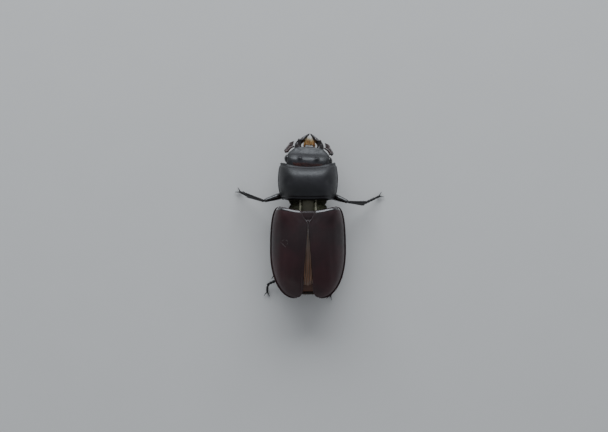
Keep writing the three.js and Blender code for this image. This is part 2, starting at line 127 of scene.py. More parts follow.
def catmull(points, count):
    """Evenly spaced points on a smooth curve through the given ones, or its own points if count is None."""
    p = np.asarray(points, float)
    t = np.linspace(0, len(p) - 1, 40 * len(p))
    i = np.minimum(t.astype(int), len(p) - 2)
    f = (t - i)[:, None]
    before, after = np.maximum(i - 1, 0), np.minimum(i + 2, len(p) - 1)
    enter, leave = (p[i + 1] - p[before]) / 2, (p[after] - p[i]) / 2
    line = (
        (2 * p[i] - 2 * p[i + 1] + enter + leave) * f**3
        + (-3 * p[i] + 3 * p[i + 1] - 2 * enter - leave) * f**2
        + enter * f
        + p[i]
    )
    if count is None:
        return line
    gone = np.concatenate([[0], np.cumsum(np.linalg.norm(np.diff(line, axis=0), axis=1))])
    spaced = np.linspace(0, gone[-1], count)
    return np.stack([np.interp(spaced, gone, line[:, k]) for k in range(line.shape[1])], axis=1)


def through(*pairs):
    """A smooth function through (share, value) pairs."""
    line = catmull(pairs, None)
    return lambda share: np.interp(share, line[:, 0], line[:, 1])


def unit(v):
    return v / np.maximum(np.linalg.norm(v, axis=-1, keepdims=True), 1e-9)


def settings():
    return bpy.context.scene.stag_beetle


# ---------------------------------------------------------------- from grids of points to pieces
def ring_faces(rows, around):
    """The faces between rows of rings."""
    sides = [(c, (c + 1) % around) for c in range(around)]
    starts = range(0, (rows - 1) * around, around)
    return [[r + a, r + b, r + around + b, r + around + a] for r in starts for a, b in sides]


class Shape:
    """Grids of points in millimetres, gathered into one mesh. Each part has a material number."""

    def __init__(self):
        self.points, self.faces, self.numbers, self.count = [], [], [], 0

    def add(self, points, faces, number=0):
        self.points.append(np.asarray(points, float).reshape(-1, 3))
        self.faces += [[i + self.count for i in face] for face in faces]
        self.numbers += [number] * len(faces)
        self.count += len(self.points[-1])
        return self

    def closed(self, grid, number=0):
        """A closed skin over rows of rings, with each end drawn together in a point."""
        rows, around = grid.shape[:2]
        points = np.concatenate([grid.reshape(-1, 3), grid[0].mean(0)[None], grid[-1].mean(0)[None]])
        last, end = rows * around, (rows - 1) * around
        faces = ring_faces(rows, around)
        faces += [[(c + 1) % around, c, last] for c in range(around)]
        faces += [[end + c, end + (c + 1) % around, last + 1] for c in range(around)]
        return self.add(points, faces, number)

    def sheet(self, grid, number=0):
        """An open skin over rows of points."""
        rows, across = grid.shape[:2]
        corners = [r * across + c for r in range(rows - 1) for c in range(across - 1)]
        return self.add(grid, [[i, i + 1, i + across + 1, i + across] for i in corners], number)

    def moved(self, matrix):
        """All points so far, put through a 4x4 matrix."""
        m = np.array(matrix)
        self.points = [p @ m[:3, :3].T + m[:3, 3] for p in self.points]
        return self

    def mirrored(self, side):
        """All points so far, on the right of the middle line if side is -1."""
        if side < 0:
            self.points = [p * (-1, 1, 1) for p in self.points]
        return self

    def piece(self, name, materials, nodes, slot):
        """The mesh as an object that rides on the body and stands for the CAD nodes."""
        points = np.concatenate(self.points) * MM + ORIGIN
        mesh = bpy.data.meshes.new(name)
        mesh.from_pydata(points.tolist(), [], self.faces)
        mesh.polygons.foreach_set("material_index", self.numbers)
        for material in materials:
            mesh.materials.append(material)
        tidy = bmesh.new()
        tidy.from_mesh(mesh)
        bmesh.ops.remove_doubles(tidy, verts=tidy.verts, dist=WELD)
        bmesh.ops.recalc_face_normals(tidy, faces=tidy.faces)
        tidy.to_mesh(mesh)
        tidy.free()
        mesh.shade_smooth()
        made = placed(name, mesh)
        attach(made, "root")
        if nodes:
            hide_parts(*nodes)


def placed(name, data):
    """A new object in the scene."""
    made = bpy.data.objects.new(name, data)
    bpy.context.scene.collection.objects.link(made)
    return made


def frame_origin():
    """The beetle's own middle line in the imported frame, in metres."""
    left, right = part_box("elytron_left"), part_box("elytron_right")
    return np.array([(left[0].x + right[1].x) / 2, left[1].y - ELYTRA["back"] * MM, 0.0])


ORIGIN = frame_origin()


def grid_of(surface, around, rows, ends=True):
    """The surface's points as rings, closer together at the ends unless ends is false."""
    share = closer_at_ends(rows) if ends else np.linspace(0, 1, rows)
    turn = np.arange(around) / around
    return surface(*np.meshgrid(turn, share))


def normals_of(surface, turn, share, step=1e-3):
    """Unit normals of a surface of (turn, share), pointing away from its middle."""
    across = surface(turn + step, share) - surface(turn - step, share)
    along = surface(turn, np.clip(share + step, 0, 1)) - surface(turn, np.clip(share - step, 0, 1))
    normal = unit(np.cross(across, along))
    middle = np.mean([surface(turn * 0 + k / 8, share) for k in range(8)], axis=0)
    outward = surface(turn, share) - middle
    return normal * np.sign((normal * outward).sum(-1, keepdims=True))


def even(wide, deep):
    """The girth of a limb that stays as thick all along."""
    return lambda share: (wide + 0 * share, deep + 0 * share)


def limb(points, girth, up=(0, 0, 1), around=20, rows=28, square=1.0, ends=(0.06, 0.06)):
    """A limb along a smooth line: girth(share) is its half thickness across and towards up. square below 1 makes
    it boxier, and ends are the shares of its length that round off. Returns its grid and its surface."""
    line = catmull(points, 120)
    ahead = unit(np.gradient(line, axis=0))
    rising = unit(np.asarray(up, float) - ahead * (ahead @ np.asarray(up, float))[:, None])
    across = np.cross(ahead, rising)

    def surface(turn, share):
        place = share * (len(line) - 1)
        i = np.minimum(place.astype(int), len(line) - 2)
        f = (place - i)[..., None]
        pick = lambda a: a[i] * (1 - f) + a[i + 1] * f
        wide, deep = girth(share)
        close = rise(share / ends[0]) * rise((1 - share) / ends[1])
        c, s = (np.sign(v) * np.abs(v) ** square for v in circle(turn))
        aside, above = (wide * close * c)[..., None], (deep * close * s)[..., None]
        return pick(line) + pick(across) * aside + pick(rising) * above

    return grid_of(surface, around, rows), surface


def rod(points, radius, **more):
    """A round limb: radius(share) is its half thickness. Returns its grid."""
    return limb(points, lambda share: (radius(share),) * 2, **more)[0]


def spine(root, tip, radius, around=8, rows=7, hook=(0, 0, 0)):
    """A thorn that tapers from root to tip."""
    middle = (root + tip) / 2 + np.asarray(hook, float)
    up = (0.3, 0.2, 1) if abs(unit(tip - root)[2]) < 0.9 else (1, 0.2, 0)
    return rod([root, middle, tip], lambda s: radius * (1 - 0.86 * s), up=up, around=around, rows=rows)


def blob(centre, radii, around, rows):
    """An ellipsoid with its ends along Y."""

    def surface(turn, share):
        ring = np.sin(np.pi * mix(0.015, 0.985, share))
        c, s = circle(turn)
        return np.stack([c * ring, -np.cos(np.pi * share), s * ring], -1) * np.asarray(radii) + np.asarray(centre)

    return grid_of(surface, around, rows, ends=False)


# ---------------------------------------------------------------- materials
def node(tree, kind, inputs=None, **options):
    """Adds a shader node with its options, and with its sockets set or linked."""
    made = tree.nodes.new("ShaderNode" + kind)
    for name, value in options.items():
        setattr(made, name, value)
    for socket, value in (inputs or {}).items():
        if isinstance(value, bpy.types.NodeSocket):
            tree.links.new(value, made.inputs[socket])
        else:
            made.inputs[socket].default_value = value
    return made


def new_material(name):
    """An empty material with its tree and a coordinate that counts in millimetres."""
    material = bpy.data.materials.get(name) or bpy.data.materials.new(name)
    material.use_nodes = True
    tree = material.node_tree
    tree.nodes.clear()
    place = node(tree, "TexCoord")
    in_mm = node(tree, "Mapping", {"Vector": place.outputs["Object"], "Scale": (1 / MM,) * 3})
    return material, tree, in_mm.outputs[0]


def finished(material, tree, share, low, high, sockets):
    """Ends the tree in a shader that has two tones, mixed by share, and the given sockets."""
    tone = node(tree, "Mix", {0: share, 6: low, 7: high}, data_type="RGBA")
    shader = node(tree, "BsdfPrincipled", {"Base Color": tone.outputs[2], **sockets})
    node(tree, "OutputMaterial", {"Surface": shader.outputs[0]})
    return material


def chitin(name, dark, light, rough, pit_mm, pit_depth, coat=0.5, coat_rough=0.1, patch_mm=6.0, gloss=0.5):
    """Sclerotised chitin, tanned by the animal itself and cast against living cells. It is a dark body under a
    clear waxy skin, so it has sharp highlights on a deep colour, broken by punctures pit_mm apart and pit_depth
    deep. dark and light are the tones of patches patch_mm wide, rough is the range of roughness, coat and
    coat_rough are the wax, and gloss is how much the body under the wax reflects, 0.5 for plain chitin."""
    material, tree, mm = new_material(name)
    patches = node(tree, "TexNoise", {"Vector": mm, "Scale": 1 / patch_mm, "Detail": 5.0, "Roughness": 0.55})
    spread = node(tree, "MapRange", {"Value": patches.outputs[0], "From Min": 0.35, "From Max": 0.65})
    cells = node(tree, "TexVoronoi", {"Vector": mm, "Scale": 1 / pit_mm, "Randomness": 0.85})
    pits = node(tree, "MapRange", {"Value": cells.outputs["Distance"], "From Min": 0.05, "From Max": 0.45})
    grain = node(tree, "TexNoise", {"Vector": mm, "Scale": 1 / (2.2 * pit_mm), "Detail": 3.0})
    height = node(tree, "Math", {0: grain.outputs[0], 1: 0.6, 2: pits.outputs[0]}, operation="MULTIPLY_ADD")
    relief = node(tree, "Bump", {"Height": height.outputs[0], "Strength": 1.0, "Distance": pit_depth * MM})
    wear = node(tree, "MapRange", {"Value": grain.outputs[0], "From Min": 0.3, "From Max": 0.7,
                                   "To Min": rough[0], "To Max": rough[1]})
    return finished(material, tree, spread.outputs[0], (*dark, 1), (*light, 1), {
        "Roughness": wear.outputs[0], "Normal": relief.outputs[0], "IOR": 1.56, "Specular IOR Level": gloss,
        "Coat Weight": coat, "Coat Roughness": coat_rough, "Coat IOR": 1.5})


def elytra_chitin():
    """Wing-case chitin, thinner than the rest, so that chestnut shows through its black. The eye reads a smooth
    lacquered brown-black with a dense fine puncture and a few faint lengthways ripples."""
    colours = settings().colours
    return chitin("wing_case_chitin_tanned", colours.wing_case, colours.wing_case_glow, (0.3, 0.42), 0.21, 0.006,
                  coat=0.04, coat_rough=0.2, patch_mm=9.0, gloss=0.17)


def elytra_edge_chitin():
    """The front edge of a wing case, rubbed bright by the thorax: the same chitin with its pits worn away, so the
    eye reads a clear line of light along it."""
    return chitin("wing_case_edge_polished", srgb("#151012"), srgb("#20161a"), (0.2, 0.26), 0.3, 0.003, coat=1.0,
                  coat_rough=0.14, patch_mm=4.0)


def thorax_chitin():
    """Thick black chitin of the thorax, self-polished: deep black, so what the eye sees is the sky in it, broken
    by punctures 0.2 mm apart, drawn slightly coarser so that they show."""
    return chitin("thorax_chitin_polished", settings().colours.thorax, srgb("#222024"), (0.36, 0.5), 0.26, 0.014,
                  coat=0.16, coat_rough=0.28)


def head_chitin():
    """Black chitin of the head, with coarser and closer punctures that turn its polish to satin."""
    return chitin("head_chitin_punctured", settings().colours.thorax, srgb("#1e1c22"), (0.34, 0.5), 0.32, 0.024,
                  coat=0.2, coat_rough=0.28)


def jaw_chitin():
    """Black chitin of the jaws, worn smooth by use, so it glints like lacquer and turns brown where it is thin."""
    return chitin("jaw_chitin_worn", srgb("#0b090a"), srgb("#24100d"), (0.14, 0.26), 0.4, 0.006, coat=0.6,
                  coat_rough=0.08, patch_mm=2.5)


def leg_chitin():
    """Black-brown chitin of the legs: glossy, with sparse punctures along the shins."""
    return chitin("leg_chitin_glossy", srgb("#0d0b0c"), srgb("#1d1413"), (0.16, 0.26), 0.34, 0.008, coat=0.9,
                  coat_rough=0.1, patch_mm=2.0)


def shin_chitin():
    """Black chitin of the shins and feet, matted by scratches and by the roots of bristles, so it stays dark."""
    return chitin("shin_chitin_satin", srgb("#0a0809"), srgb("#171011"), (0.36, 0.5), 0.3, 0.012, coat=0.08,
                  coat_rough=0.3, patch_mm=2.0, gloss=0.36)


def feeler_chitin():
    """Dark red-brown chitin of feelers and palps, thin enough for the red to glow in light."""
    return chitin("feeler_chitin_thin", srgb("#1c0c0b"), srgb("#3c1812"), (0.24, 0.4), 0.22, 0.008, coat=0.35,
                  coat_rough=0.16, patch_mm=1.2)


def underside_chitin():
    """Black-brown chitin of the underside, matted by the roots of short hair."""
    return chitin("underside_chitin_satin", srgb("#100d0c"), srgb("#241914"), (0.34, 0.52), 0.3, 0.02, coat=0.15,
                  coat_rough=0.3, patch_mm=4.0)


def tergite_cuticle():
    """Soft unpolished cuticle on the back of the abdomen, tanned brown and always covered, so it looks dull and
    leathery, with fine cross wrinkles 0.35 mm apart."""
    material, tree, mm = new_material("back_cuticle_untanned")
    stretched = node(tree, "Mapping", {"Vector": mm, "Scale": (0.35, 2.8, 1.0)})
    folds = node(tree, "TexNoise", {"Vector": stretched.outputs[0], "Scale": 1.0, "Detail": 4.0})
    relief = node(tree, "Bump", {"Height": folds.outputs[0], "Strength": 0.8, "Distance": 0.08 * MM})
    return finished(material, tree, folds.outputs[0], (*srgb("#2c150d"), 1), (*srgb("#6b3a20"), 1),
                    {"Roughness": 0.55, "IOR": 1.5, "Normal": relief.outputs[0]})


def wing_membrane():
    """Folded hind-wing membrane: chitin film 0.02 mm thick, pleated 0.45 mm apart along brown veins. Layers of it
    look grey in front and amber to orange-brown behind, satin, with fine lengthways lines."""
    material, tree, mm = new_material("hind_wing_membrane_pleated")
    pleats = node(tree, "TexWave", {"Vector": mm, "Scale": 0.7, "Distortion": 2.5, "Detail": 2.0,
                                    "Detail Scale": 0.6}, wave_type="BANDS", bands_direction="X")
    veins = node(tree, "MapRange", {"Value": pleats.outputs[1], "From Min": 0.1, "From Max": 0.6})
    parts = node(tree, "SeparateXYZ", {0: mm})
    blotches = node(tree, "TexNoise", {"Vector": mm, "Scale": 0.5, "Detail": 3.0})
    rearward = node(tree, "MapRange", {"Value": parts.outputs[1], "From Min": 7.0, "From Max": 15.0})
    front, rear = (node(tree, "Mix", {0: blotches.outputs[0], 6: (*low, 1), 7: (*high, 1)}, data_type="RGBA")
                   for low, high in ((srgb("#584e48"), srgb("#453c36")),
                                     (settings().colours.membrane, srgb("#6e4c3a"))))
    film = node(tree, "Mix", {0: rearward.outputs[0], 6: front.outputs[2], 7: rear.outputs[2]}, data_type="RGBA")
    relief = node(tree, "Bump", {"Height": pleats.outputs[1], "Strength": 0.8, "Distance": 0.06 * MM})
    return finished(material, tree, veins.outputs[0], (*srgb("#5a4637"), 1), film.outputs[2],
                    {"Roughness": 0.42, "IOR": 1.55, "Normal": relief.outputs[0], "Sheen Weight": 0.15})


def eye_cornea():
    """The cornea of a compound eye: thousands of clear lenses over black pigment. Their real pitch of 0.03 mm
    would not show, so facets are drawn 0.09 mm apart. The eye reads a deep black bead with a fine frost."""
    material, tree, mm = new_material("eye_cornea_faceted")
    facets = node(tree, "TexVoronoi", {"Vector": mm, "Scale": 1 / 0.09, "Randomness": 0.25})
    relief = node(tree, "Bump", {"Height": facets.outputs["Distance"], "Strength": 0.5, "Distance": 0.01 * MM},
                  invert=True)
    depth = node(tree, "TexNoise", {"Vector": mm, "Scale": 1.2})
    return finished(material, tree, depth.outputs[0], (*settings().colours.eye, 1), (*srgb("#1c1716"), 1),
                    {"Roughness": 0.16, "IOR": 1.5, "Coat Weight": 0.5, "Coat Roughness": 0.05,
                     "Normal": relief.outputs[0]})


def hair_keratinised(name, root, tip, rough=0.5):
    """Chitin bristles, grown and not cut, 0.02 to 0.05 mm thick: each is a fine tapered rod that catches light along
    its length, so a patch of them looks silky. The tone drifts from tuft to tuft. Scratched chitin looks as matt and
    uses it too, and so does the pale strip painted as the highlight along the suture."""
    material, tree, mm = new_material(name)
    drift = node(tree, "TexNoise", {"Vector": mm, "Scale": 1.6, "Detail": 3.0})
    spread = node(tree, "MapRange", {"Value": drift.outputs[0], "From Min": 0.3, "From Max": 0.7})
    return finished(material, tree, spread.outputs[0], (*root, 1), (*tip, 1),
                    {"Roughness": rough, "IOR": 1.55, "Sheen Weight": 0.1})


def waist_membrane():
    """The soft joint skin of the waist: unpolished olive-black membrane with a fine crumple 0.3 mm across."""
    material, tree, mm = new_material("waist_membrane_soft")
    crumple = node(tree, "TexNoise", {"Vector": mm, "Scale": 1 / 0.3, "Detail": 4.0})
    relief = node(tree, "Bump", {"Height": crumple.outputs[0], "Strength": 0.7, "Distance": 0.05 * MM})
    return finished(material, tree, crumple.outputs[0], (*srgb("#18160e"), 1), (*srgb("#37331d"), 1),
                    {"Roughness": 0.75, "IOR": 1.4, "Normal": relief.outputs[0]})


def studio_paper():
    """Seamless pale background paper, rolled and uncoated: a flat matt light grey, with the mottle of its fibres
    drawn 12 mm wide and so faint that it only keeps the grey from looking dead."""
    material, tree, mm = new_material("studio_paper_uncoated")
    fibre = node(tree, "TexNoise", {"Vector": mm, "Scale": 0.08, "Detail": 6.0})
    base = settings().stage.floor
    return finished(material, tree, fibre.outputs[0], (*base, 1), (*[c * 0.96 for c in base], 1),
                    {"Roughness": 0.9})


# ---------------------------------------------------------------- hair
def tufts(name, surface, spots, lean, length, width, material, seed, jitter=0.35, out=0.5, matrix=None):
    """Bristles on a surface: spots is an array of (turn, share) roots, lean the way they lie, jitter how far they
    stray from it and out how far they stand up. Each is a tapered three-sided strand, joined into one mesh, with
    a patch at its root's place on the skin's own unwrap."""
    dice = np.random.default_rng(seed)
    turn, share = np.asarray(spots, float).T
    root = surface(turn, share)
    normal = normals_of(surface, turn, share)
    lie = np.broadcast_to(np.asarray(lean, float), root.shape) + dice.normal(0, jitter, root.shape)
    lie = unit(lie - normal * (lie * normal).sum(-1, keepdims=True))
    reach = length * dice.uniform(0.6, 1.1, len(root))[:, None]
    heading = unit(lie + normal * out)
    if matrix is not None:
        m = np.array(matrix)
        root, heading, normal = root @ m[:3, :3].T + m[:3, 3], heading @ m[:3, :3].T, normal @ m[:3, :3].T
    sideways = unit(np.cross(heading, normal))
    flat = unit(np.cross(sideways, heading))
    points, patches = [], []
    for level, (gone, thick) in enumerate(HAIR_LEVELS):
        centre = root + heading * reach * gone - normal * reach * HAIR_BEND * gone * abs(gone)
        for k in range(3):
            angle = 2 * np.pi * k / 3
            points.append(centre + (sideways * math.cos(angle) + flat * math.sin(angle)) * width * thick / 2)
            patches.append(np.stack([turn % 1 + HAIR_PATCH * (k / 3), share + HAIR_PATCH * (level / 3)], -1))
    points, patches = np.stack(points, 1), np.stack(patches, 1)
    strand = ring_faces(4, 3) + [[2, 1, 0], [9, 10, 11]]
    faces = [[i + 12 * n for i in face] for n in range(len(root)) for face in strand]
    mesh = bpy.data.meshes.new(name)
    mesh.from_pydata((points.reshape(-1, 3) * MM + ORIGIN).tolist(), [], faces)
    mesh.materials.append(material)
    layer = mesh.uv_layers.new(name="OFBake")
    corner = np.zeros(len(mesh.loops), int)
    mesh.loops.foreach_get("vertex_index", corner)
    layer.data.foreach_set("uv", np.clip(patches.reshape(-1, 2)[corner], 0, 1).ravel())
    mesh.shade_smooth()
    made = placed(name, mesh)
    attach(made, "root")


def scatter(seed, count, turns, shares):
    """Random roots within a range of turns and a range of shares."""
    dice = np.random.default_rng(seed)
    return np.stack([dice.uniform(*turns, count), dice.uniform(*shares, count)], axis=1)


# ---------------------------------------------------------------- plates
def grid_normals(grid, closed):
    """Unit normals of a grid of points, away from its middle line if the rows are rings and upward if not."""
    if closed:
        across = np.roll(grid, -1, axis=1) - np.roll(grid, 1, axis=1)
    else:
        across = np.gradient(grid, axis=1)
    normal = unit(np.cross(across, np.gradient(grid, axis=0)))
    if closed:
        outward = ((grid - grid.mean(1, keepdims=True)) * normal).sum()
        return normal * np.sign(outward)
    return normal * np.sign(normal[..., 2].sum())


def swollen(grid, height, closed=True):
    """The grid with a height added along its normals."""
    return grid + grid_normals(grid, closed) * height[..., None]


def collar(ring, steps):
    """Copies of a ring, each with a scale about its middle and a shift along Y."""
    middle = ring.mean(0)
    return np.stack([middle + (ring - middle) * scale + (0, ahead, 0) for scale, ahead in steps])


def plate(shape, grid, thick, number=0):
    """An open skin with a thickness under it, and a rounded rim."""
    normal = grid_normals(grid, closed=False)
    rows, across = grid.shape[:2]
    thick = np.broadcast_to(thick, (rows, across, 1))
    under = grid - normal * thick
    shape.sheet(grid, number)
    shape.sheet(under[::-1], number)
    loop = [(0, c) for c in range(across)] + [(r, across - 1) for r in range(1, rows)]
    loop += [(rows - 1, c) for c in range(across - 2, -1, -1)] + [(r, 0) for r in range(rows - 2, 0, -1)]
    r, c = np.array(loop).T
    top, low = grid[r, c], under[r, c]
    middle = (top + low) / 2
    along = unit(np.roll(top, -1, axis=0) - np.roll(top, 1, axis=0))
    outward = np.cross(along, normal[r, c])
    inside = grid[np.clip(r, 1, rows - 2), np.clip(c, 1, across - 2)]
    outward *= np.sign((outward * (top - inside)).sum(-1, keepdims=True))
    rim = np.stack([top, middle + outward * thick[r, c] * 0.35, low])
    return shape.add(rim, ring_faces(3, len(loop)), number)


elytra_crest = through((0, 12.1), (0.12, 12.45), (0.4, 13.2), (0.62, 12.6), (0.8, 11.2), (0.93, 9.0), (1, 7.2))
elytra_edge = through((0, 7.0), (0.12, 6.4), (0.5, 6.0), (0.85, 5.7), (1, 5.9))


def elytra_share(y, scoop=0.0):
    """How far back y lies along the wing cases, with their front edge moved back by scoop."""
    return (y - ELYTRA["front"] - scoop) / ELYTRA_LENGTH


def elytra_half(share):
    """Half width of both wing cases together."""
    front = mix(ELYTRA["front_half"], ELYTRA["half"], rise(share / ELYTRA["widest"], 2.6))
    rear = mix(ELYTRA["tip"], ELYTRA["half"], rise((1 - share) / (1 - ELYTRA["widest"]), 2.15))
    return np.where(share < ELYTRA["widest"], front, rear)


def elytra_height(reach, share):
    """Height of the dome as a share of its middle. The shoulders are boxier than the rest."""
    blunt = 2.4 + 8.0 * np.clip(1 - share / 0.35, 0, 1) ** 3
    return np.sqrt(np.clip(1 - np.clip(reach, 0, 1) ** blunt, 0, 1))


def elytra_y(share, reach):
    """Y along the wing cases: their front edge curves back in the middle."""
    return mix(ELYTRA["front"], ELYTRA["back"], share) + ELYTRA["scoop"] * (1 - reach**2) * (1 - share) ** 8


def scutellum_half(y):
    """Half width of the scutellum at y."""
    share = np.clip((y - SCUTELLUM["root"]) / SCUTELLUM["taper"], 0, 1)
    half = SCUTELLUM["half"] * (1 - np.clip((share - 0.2) / 0.8, 0, 1) ** 1.5) + 0.05
    return np.where(y < SCUTELLUM["gap_end"], half, 0)


def elytra_inner(share):
    """The inner edge of a wing case: round the scutellum, closed behind it, then parting to the tip."""
    parted = np.clip((share - ELYTRA["split_from"]) / (ELYTRA["split_to"] - ELYTRA["split_from"]), 0, 1)
    opening = 0.05 + ELYTRA["split"] * parted**1.1
    opening = np.maximum(opening, scutellum_half(elytra_y(share, 0.1)) + 0.04)
    return mix(opening, ELYTRA["tip"] - 0.5, 1 - rise((1 - share) / 0.13, 2.4))


def wing_case_grid():
    """Rows run over the front lip, then back to the tip. Each goes from the inner edge over the dome to the
    raised side margin and a fold under it."""
    bevel = settings().shell.bevel / MM
    share = np.concatenate([np.zeros(LIP_ROWS), closer_at_ends(CASE_ROWS, 0.9)])[:, None]
    quarter = np.linspace(0, np.pi / 2, LIP_ROWS - 3)
    inset = np.concatenate([np.linspace(2.3, 0.35, 3), 0.26 * (1 - np.sin(quarter)), np.zeros(CASE_ROWS)])[:, None]
    ahead = np.concatenate([[-0.75, -0.3, 0.08], 0.12 * np.cos(quarter), np.zeros(CASE_ROWS)])[:, None]
    low = elytra_inner(share)
    half = np.maximum(elytra_half(share) - inset, low + 0.04)
    flange = np.minimum(0.3, (half - low) * 0.15)
    x = low + (half - flange - low) * np.sin(np.linspace(0, 1, CASE_ACROSS)[None] * np.pi / 2)
    reach = x / (half - flange)
    y = elytra_y(share, np.minimum(x / elytra_half(share), 1)) - ahead
    edge = elytra_edge(share)
    high = np.maximum(elytra_crest(share) - inset - edge, 0.25)
    z = edge + 0.12 + (high - 0.12) * elytra_height(reach, share)
    # A raised line and a groove beside the inner edge, where the wing cases part.
    from_suture = x - low
    open_part = rise((share - 0.12) / 0.2)
    z = z + (0.09 * bump(from_suture, 0.16, 0.13) - 0.07 * bump(from_suture, 0.46, 0.16)) * open_part
    # The bevel along the front edge catches the light as a bright line.
    from_front = y - elytra_y(0, x / elytra_half(0))
    z = z - bevel * np.where(inset > 0, 1, np.clip(1 - from_front / (2.4 * bevel), 0, 1))
    # The shoulder callus, and faint lengthways ripples on the disc.
    z = z + 0.28 * bump(x, 5.7, 1.1) * bump(share, 0.11, 0.07)
    ripple = 0.035 * np.cos((x - low) * 2 * np.pi / 1.9) * rise((share - 0.1) / 0.3) * rise((0.9 - share) / 0.3)
    dome = np.stack([x, y + 0 * z, z + ripple * (reach < 1)], -1)
    # The side margin: how far out and how high each point of it lies.
    out = np.array([0.25, 0.62, 0.92, 1.0, 0.86, 0.3, -1.2, -3.2])[None]
    rise_z = np.array([0.06, 0.09, 0.2, 0.1, -0.02, -0.08, -0.02, 0.1])[None]
    wide = half - flange + flange * out
    y = elytra_y(share, np.minimum(wide / elytra_half(share), 1)) - ahead
    return np.concatenate([dome, np.stack([wide, y, edge + rise_z * flange / 0.3], -1)], axis=1)


def make_wing_cases():
    """Each wing case is a plate with a thin polished bead along its front edge."""
    material, polished = elytra_chitin(), elytra_edge_chitin()
    grid = wing_case_grid()
    to_tip = np.concatenate([np.ones(LIP_ROWS), np.linspace(1, 0, CASE_ROWS)])[:, None, None]
    thick = settings().shell.thickness / MM * (0.35 + 0.65 * rise(to_tip / 0.3))
    bead = grid[LIP_ROWS - 1 : LIP_ROWS + 12, 2 : CASE_ACROSS - 4]
    bead = swollen(bead, 0.04 * np.sin(np.linspace(0, np.pi, len(bead)))[:, None], closed=False)
    for name, side in SIDES:
        shape = plate(plate(Shape(), grid, thick), bead, 0.12, 1)
        shape.mirrored(side).piece(f"wing_case_{name}", [material, polished], [f"elytron_{name}"], "elytra")


def make_scratch():
    """Healed scratches on the left wing case: a straight one 2 mm long and three short ones ahead of it, all pale
    lines that thin out at both ends."""
    dome = wing_case_grid()[LIP_ROWS:, :CASE_ACROSS]
    shape = Shape()
    for start, end in SCRATCHES:
        points = []
        for x, y in np.linspace(start, end, 13):
            row = dome[np.argmin(np.abs(dome[:, 60, 1] - y))]
            points.append((x, y, np.interp(x, row[:, 0], row[:, 2]) + 0.008))
        grid, _ = limb(points, lambda s: (0.006 + 0.034 * np.sin(np.pi * s), 0.006 + 0.006 * np.sin(np.pi * s)),
                       around=12, rows=30, ends=(0.4, 0.4))
        shape.closed(grid)
    pale = hair_keratinised("chitin_scratched_pale", srgb("#4c4442"), srgb("#6f6663"), 0.6)
    shape.piece("wing_case_scratch", [pale], [], "elytra")


def make_suture_painted_highlight():
    """A thin pale strip in the closed suture: a painted highlight that stands in for the line of light where the
    wing cases meet.
    """
    share = np.linspace(0.19, 0.5, 90)[:, None]
    across = np.linspace(-1, 1, 9)[None]
    half = 0.1 + 0.02 * np.sin(share * 90)
    z = elytra_crest(share) - 0.1 - 0.12 * across**2 - 0.35 * np.clip((share - 0.3) / 0.2, 0, 1)
    grid = np.stack([across * half, elytra_y(share, 0) + 0 * across, z], -1)
    # Pale tones of the painted highlight along the suture.
    painted_highlight = hair_keratinised("suture_painted_highlight_pale", srgb("#5c5453"), srgb("#857b79"))
    plate(Shape(), grid, 0.06).piece("suture_painted_highlight", [painted_highlight], [], "hind_wing")


def make_scutellum():
    """A small shield between the wing cases, slightly domed, with a bead round it."""

    def surface(turn, share):
        y = mix(SCUTELLUM["front"], SCUTELLUM["back"], share)
        half = (scutellum_half(y) + 0.02) * rise((share + 0.08) / 0.16)
        flush = elytra_crest(elytra_share(y, ELYTRA["scoop"] / 2)) - SCUTELLUM["sunk"]
        c, s = circle(turn)
        dome = 0.1 * (1 - np.abs(c) ** 2.0) - 0.3 * np.clip(1 - share / 0.17, 0, 1) - 0.12 * bump(share, 0.72, 0.12)
        return np.stack([c * half, y, np.where(s > 0, flush + dome, flush + dome + 0.45 * s)], -1)

    shape = Shape().closed(grid_of(surface, 64, 40))
    # The bead runs across the front at one share, and down both sides to the tip.
    turns = np.linspace(0.44, 0.06, 9)
    front = surface(turns, np.full(len(turns), 0.1))
    down = np.array([0.68, 0.77, 0.85, 0.92, 0.97])
    margin = surface(np.repeat([0.44, 0.06], len(down)), np.concatenate([down, down[::-1]])) - (0, 0, 0.02)
    for line in (front, margin):
        shape.closed(limb(line, even(0.075, 0.055), around=16, rows=60)[0], 1)
    shape.piece("scutellum_plate", [elytra_chitin(), elytra_edge_chitin()], ["scutellum"], "thorax_shell")


pronotum_half = through((0, 5.9), (0.1, 6.4), (0.3, 6.64), (0.5, 6.66), (0.75, 6.45), (0.93, 6.0), (1, 5.6))
pronotum_crest = through((0, 9.3), (0.1, 10.5), (0.35, 11.6), (0.65, 11.8), (0.92, 11.0), (1, 10.2))


def pronotum_surface(turn, share):
    """Over the top from right to left for one part of the turn, then back underneath."""
    edge, over, turn = PRONOTUM["edge"], PRONOTUM["over"], turn % 1
    under = (turn - over) / (1 - over)
    across = np.where(turn <= over, -np.cos(np.pi * turn / over), 1 - 2 * under)
    y = mix(PRONOTUM["front"], PRONOTUM["back"], share)
    y = y + PRONOTUM["front_scoop"] * (1 - across**2) * (1 - share) ** 3
    y = y - PRONOTUM["back_scoop"] * across**2 * share**3
    dome = edge + (pronotum_crest(share) - edge) * np.sqrt(np.clip(1 - np.abs(across) ** 2.6, 0, 1))
    z = np.where(turn <= over, dome, edge - 0.12 * np.sin(np.pi * np.clip(under, 0, 1)))
    return np.stack([across * pronotum_half(share), y + 0 * across, z], -1)


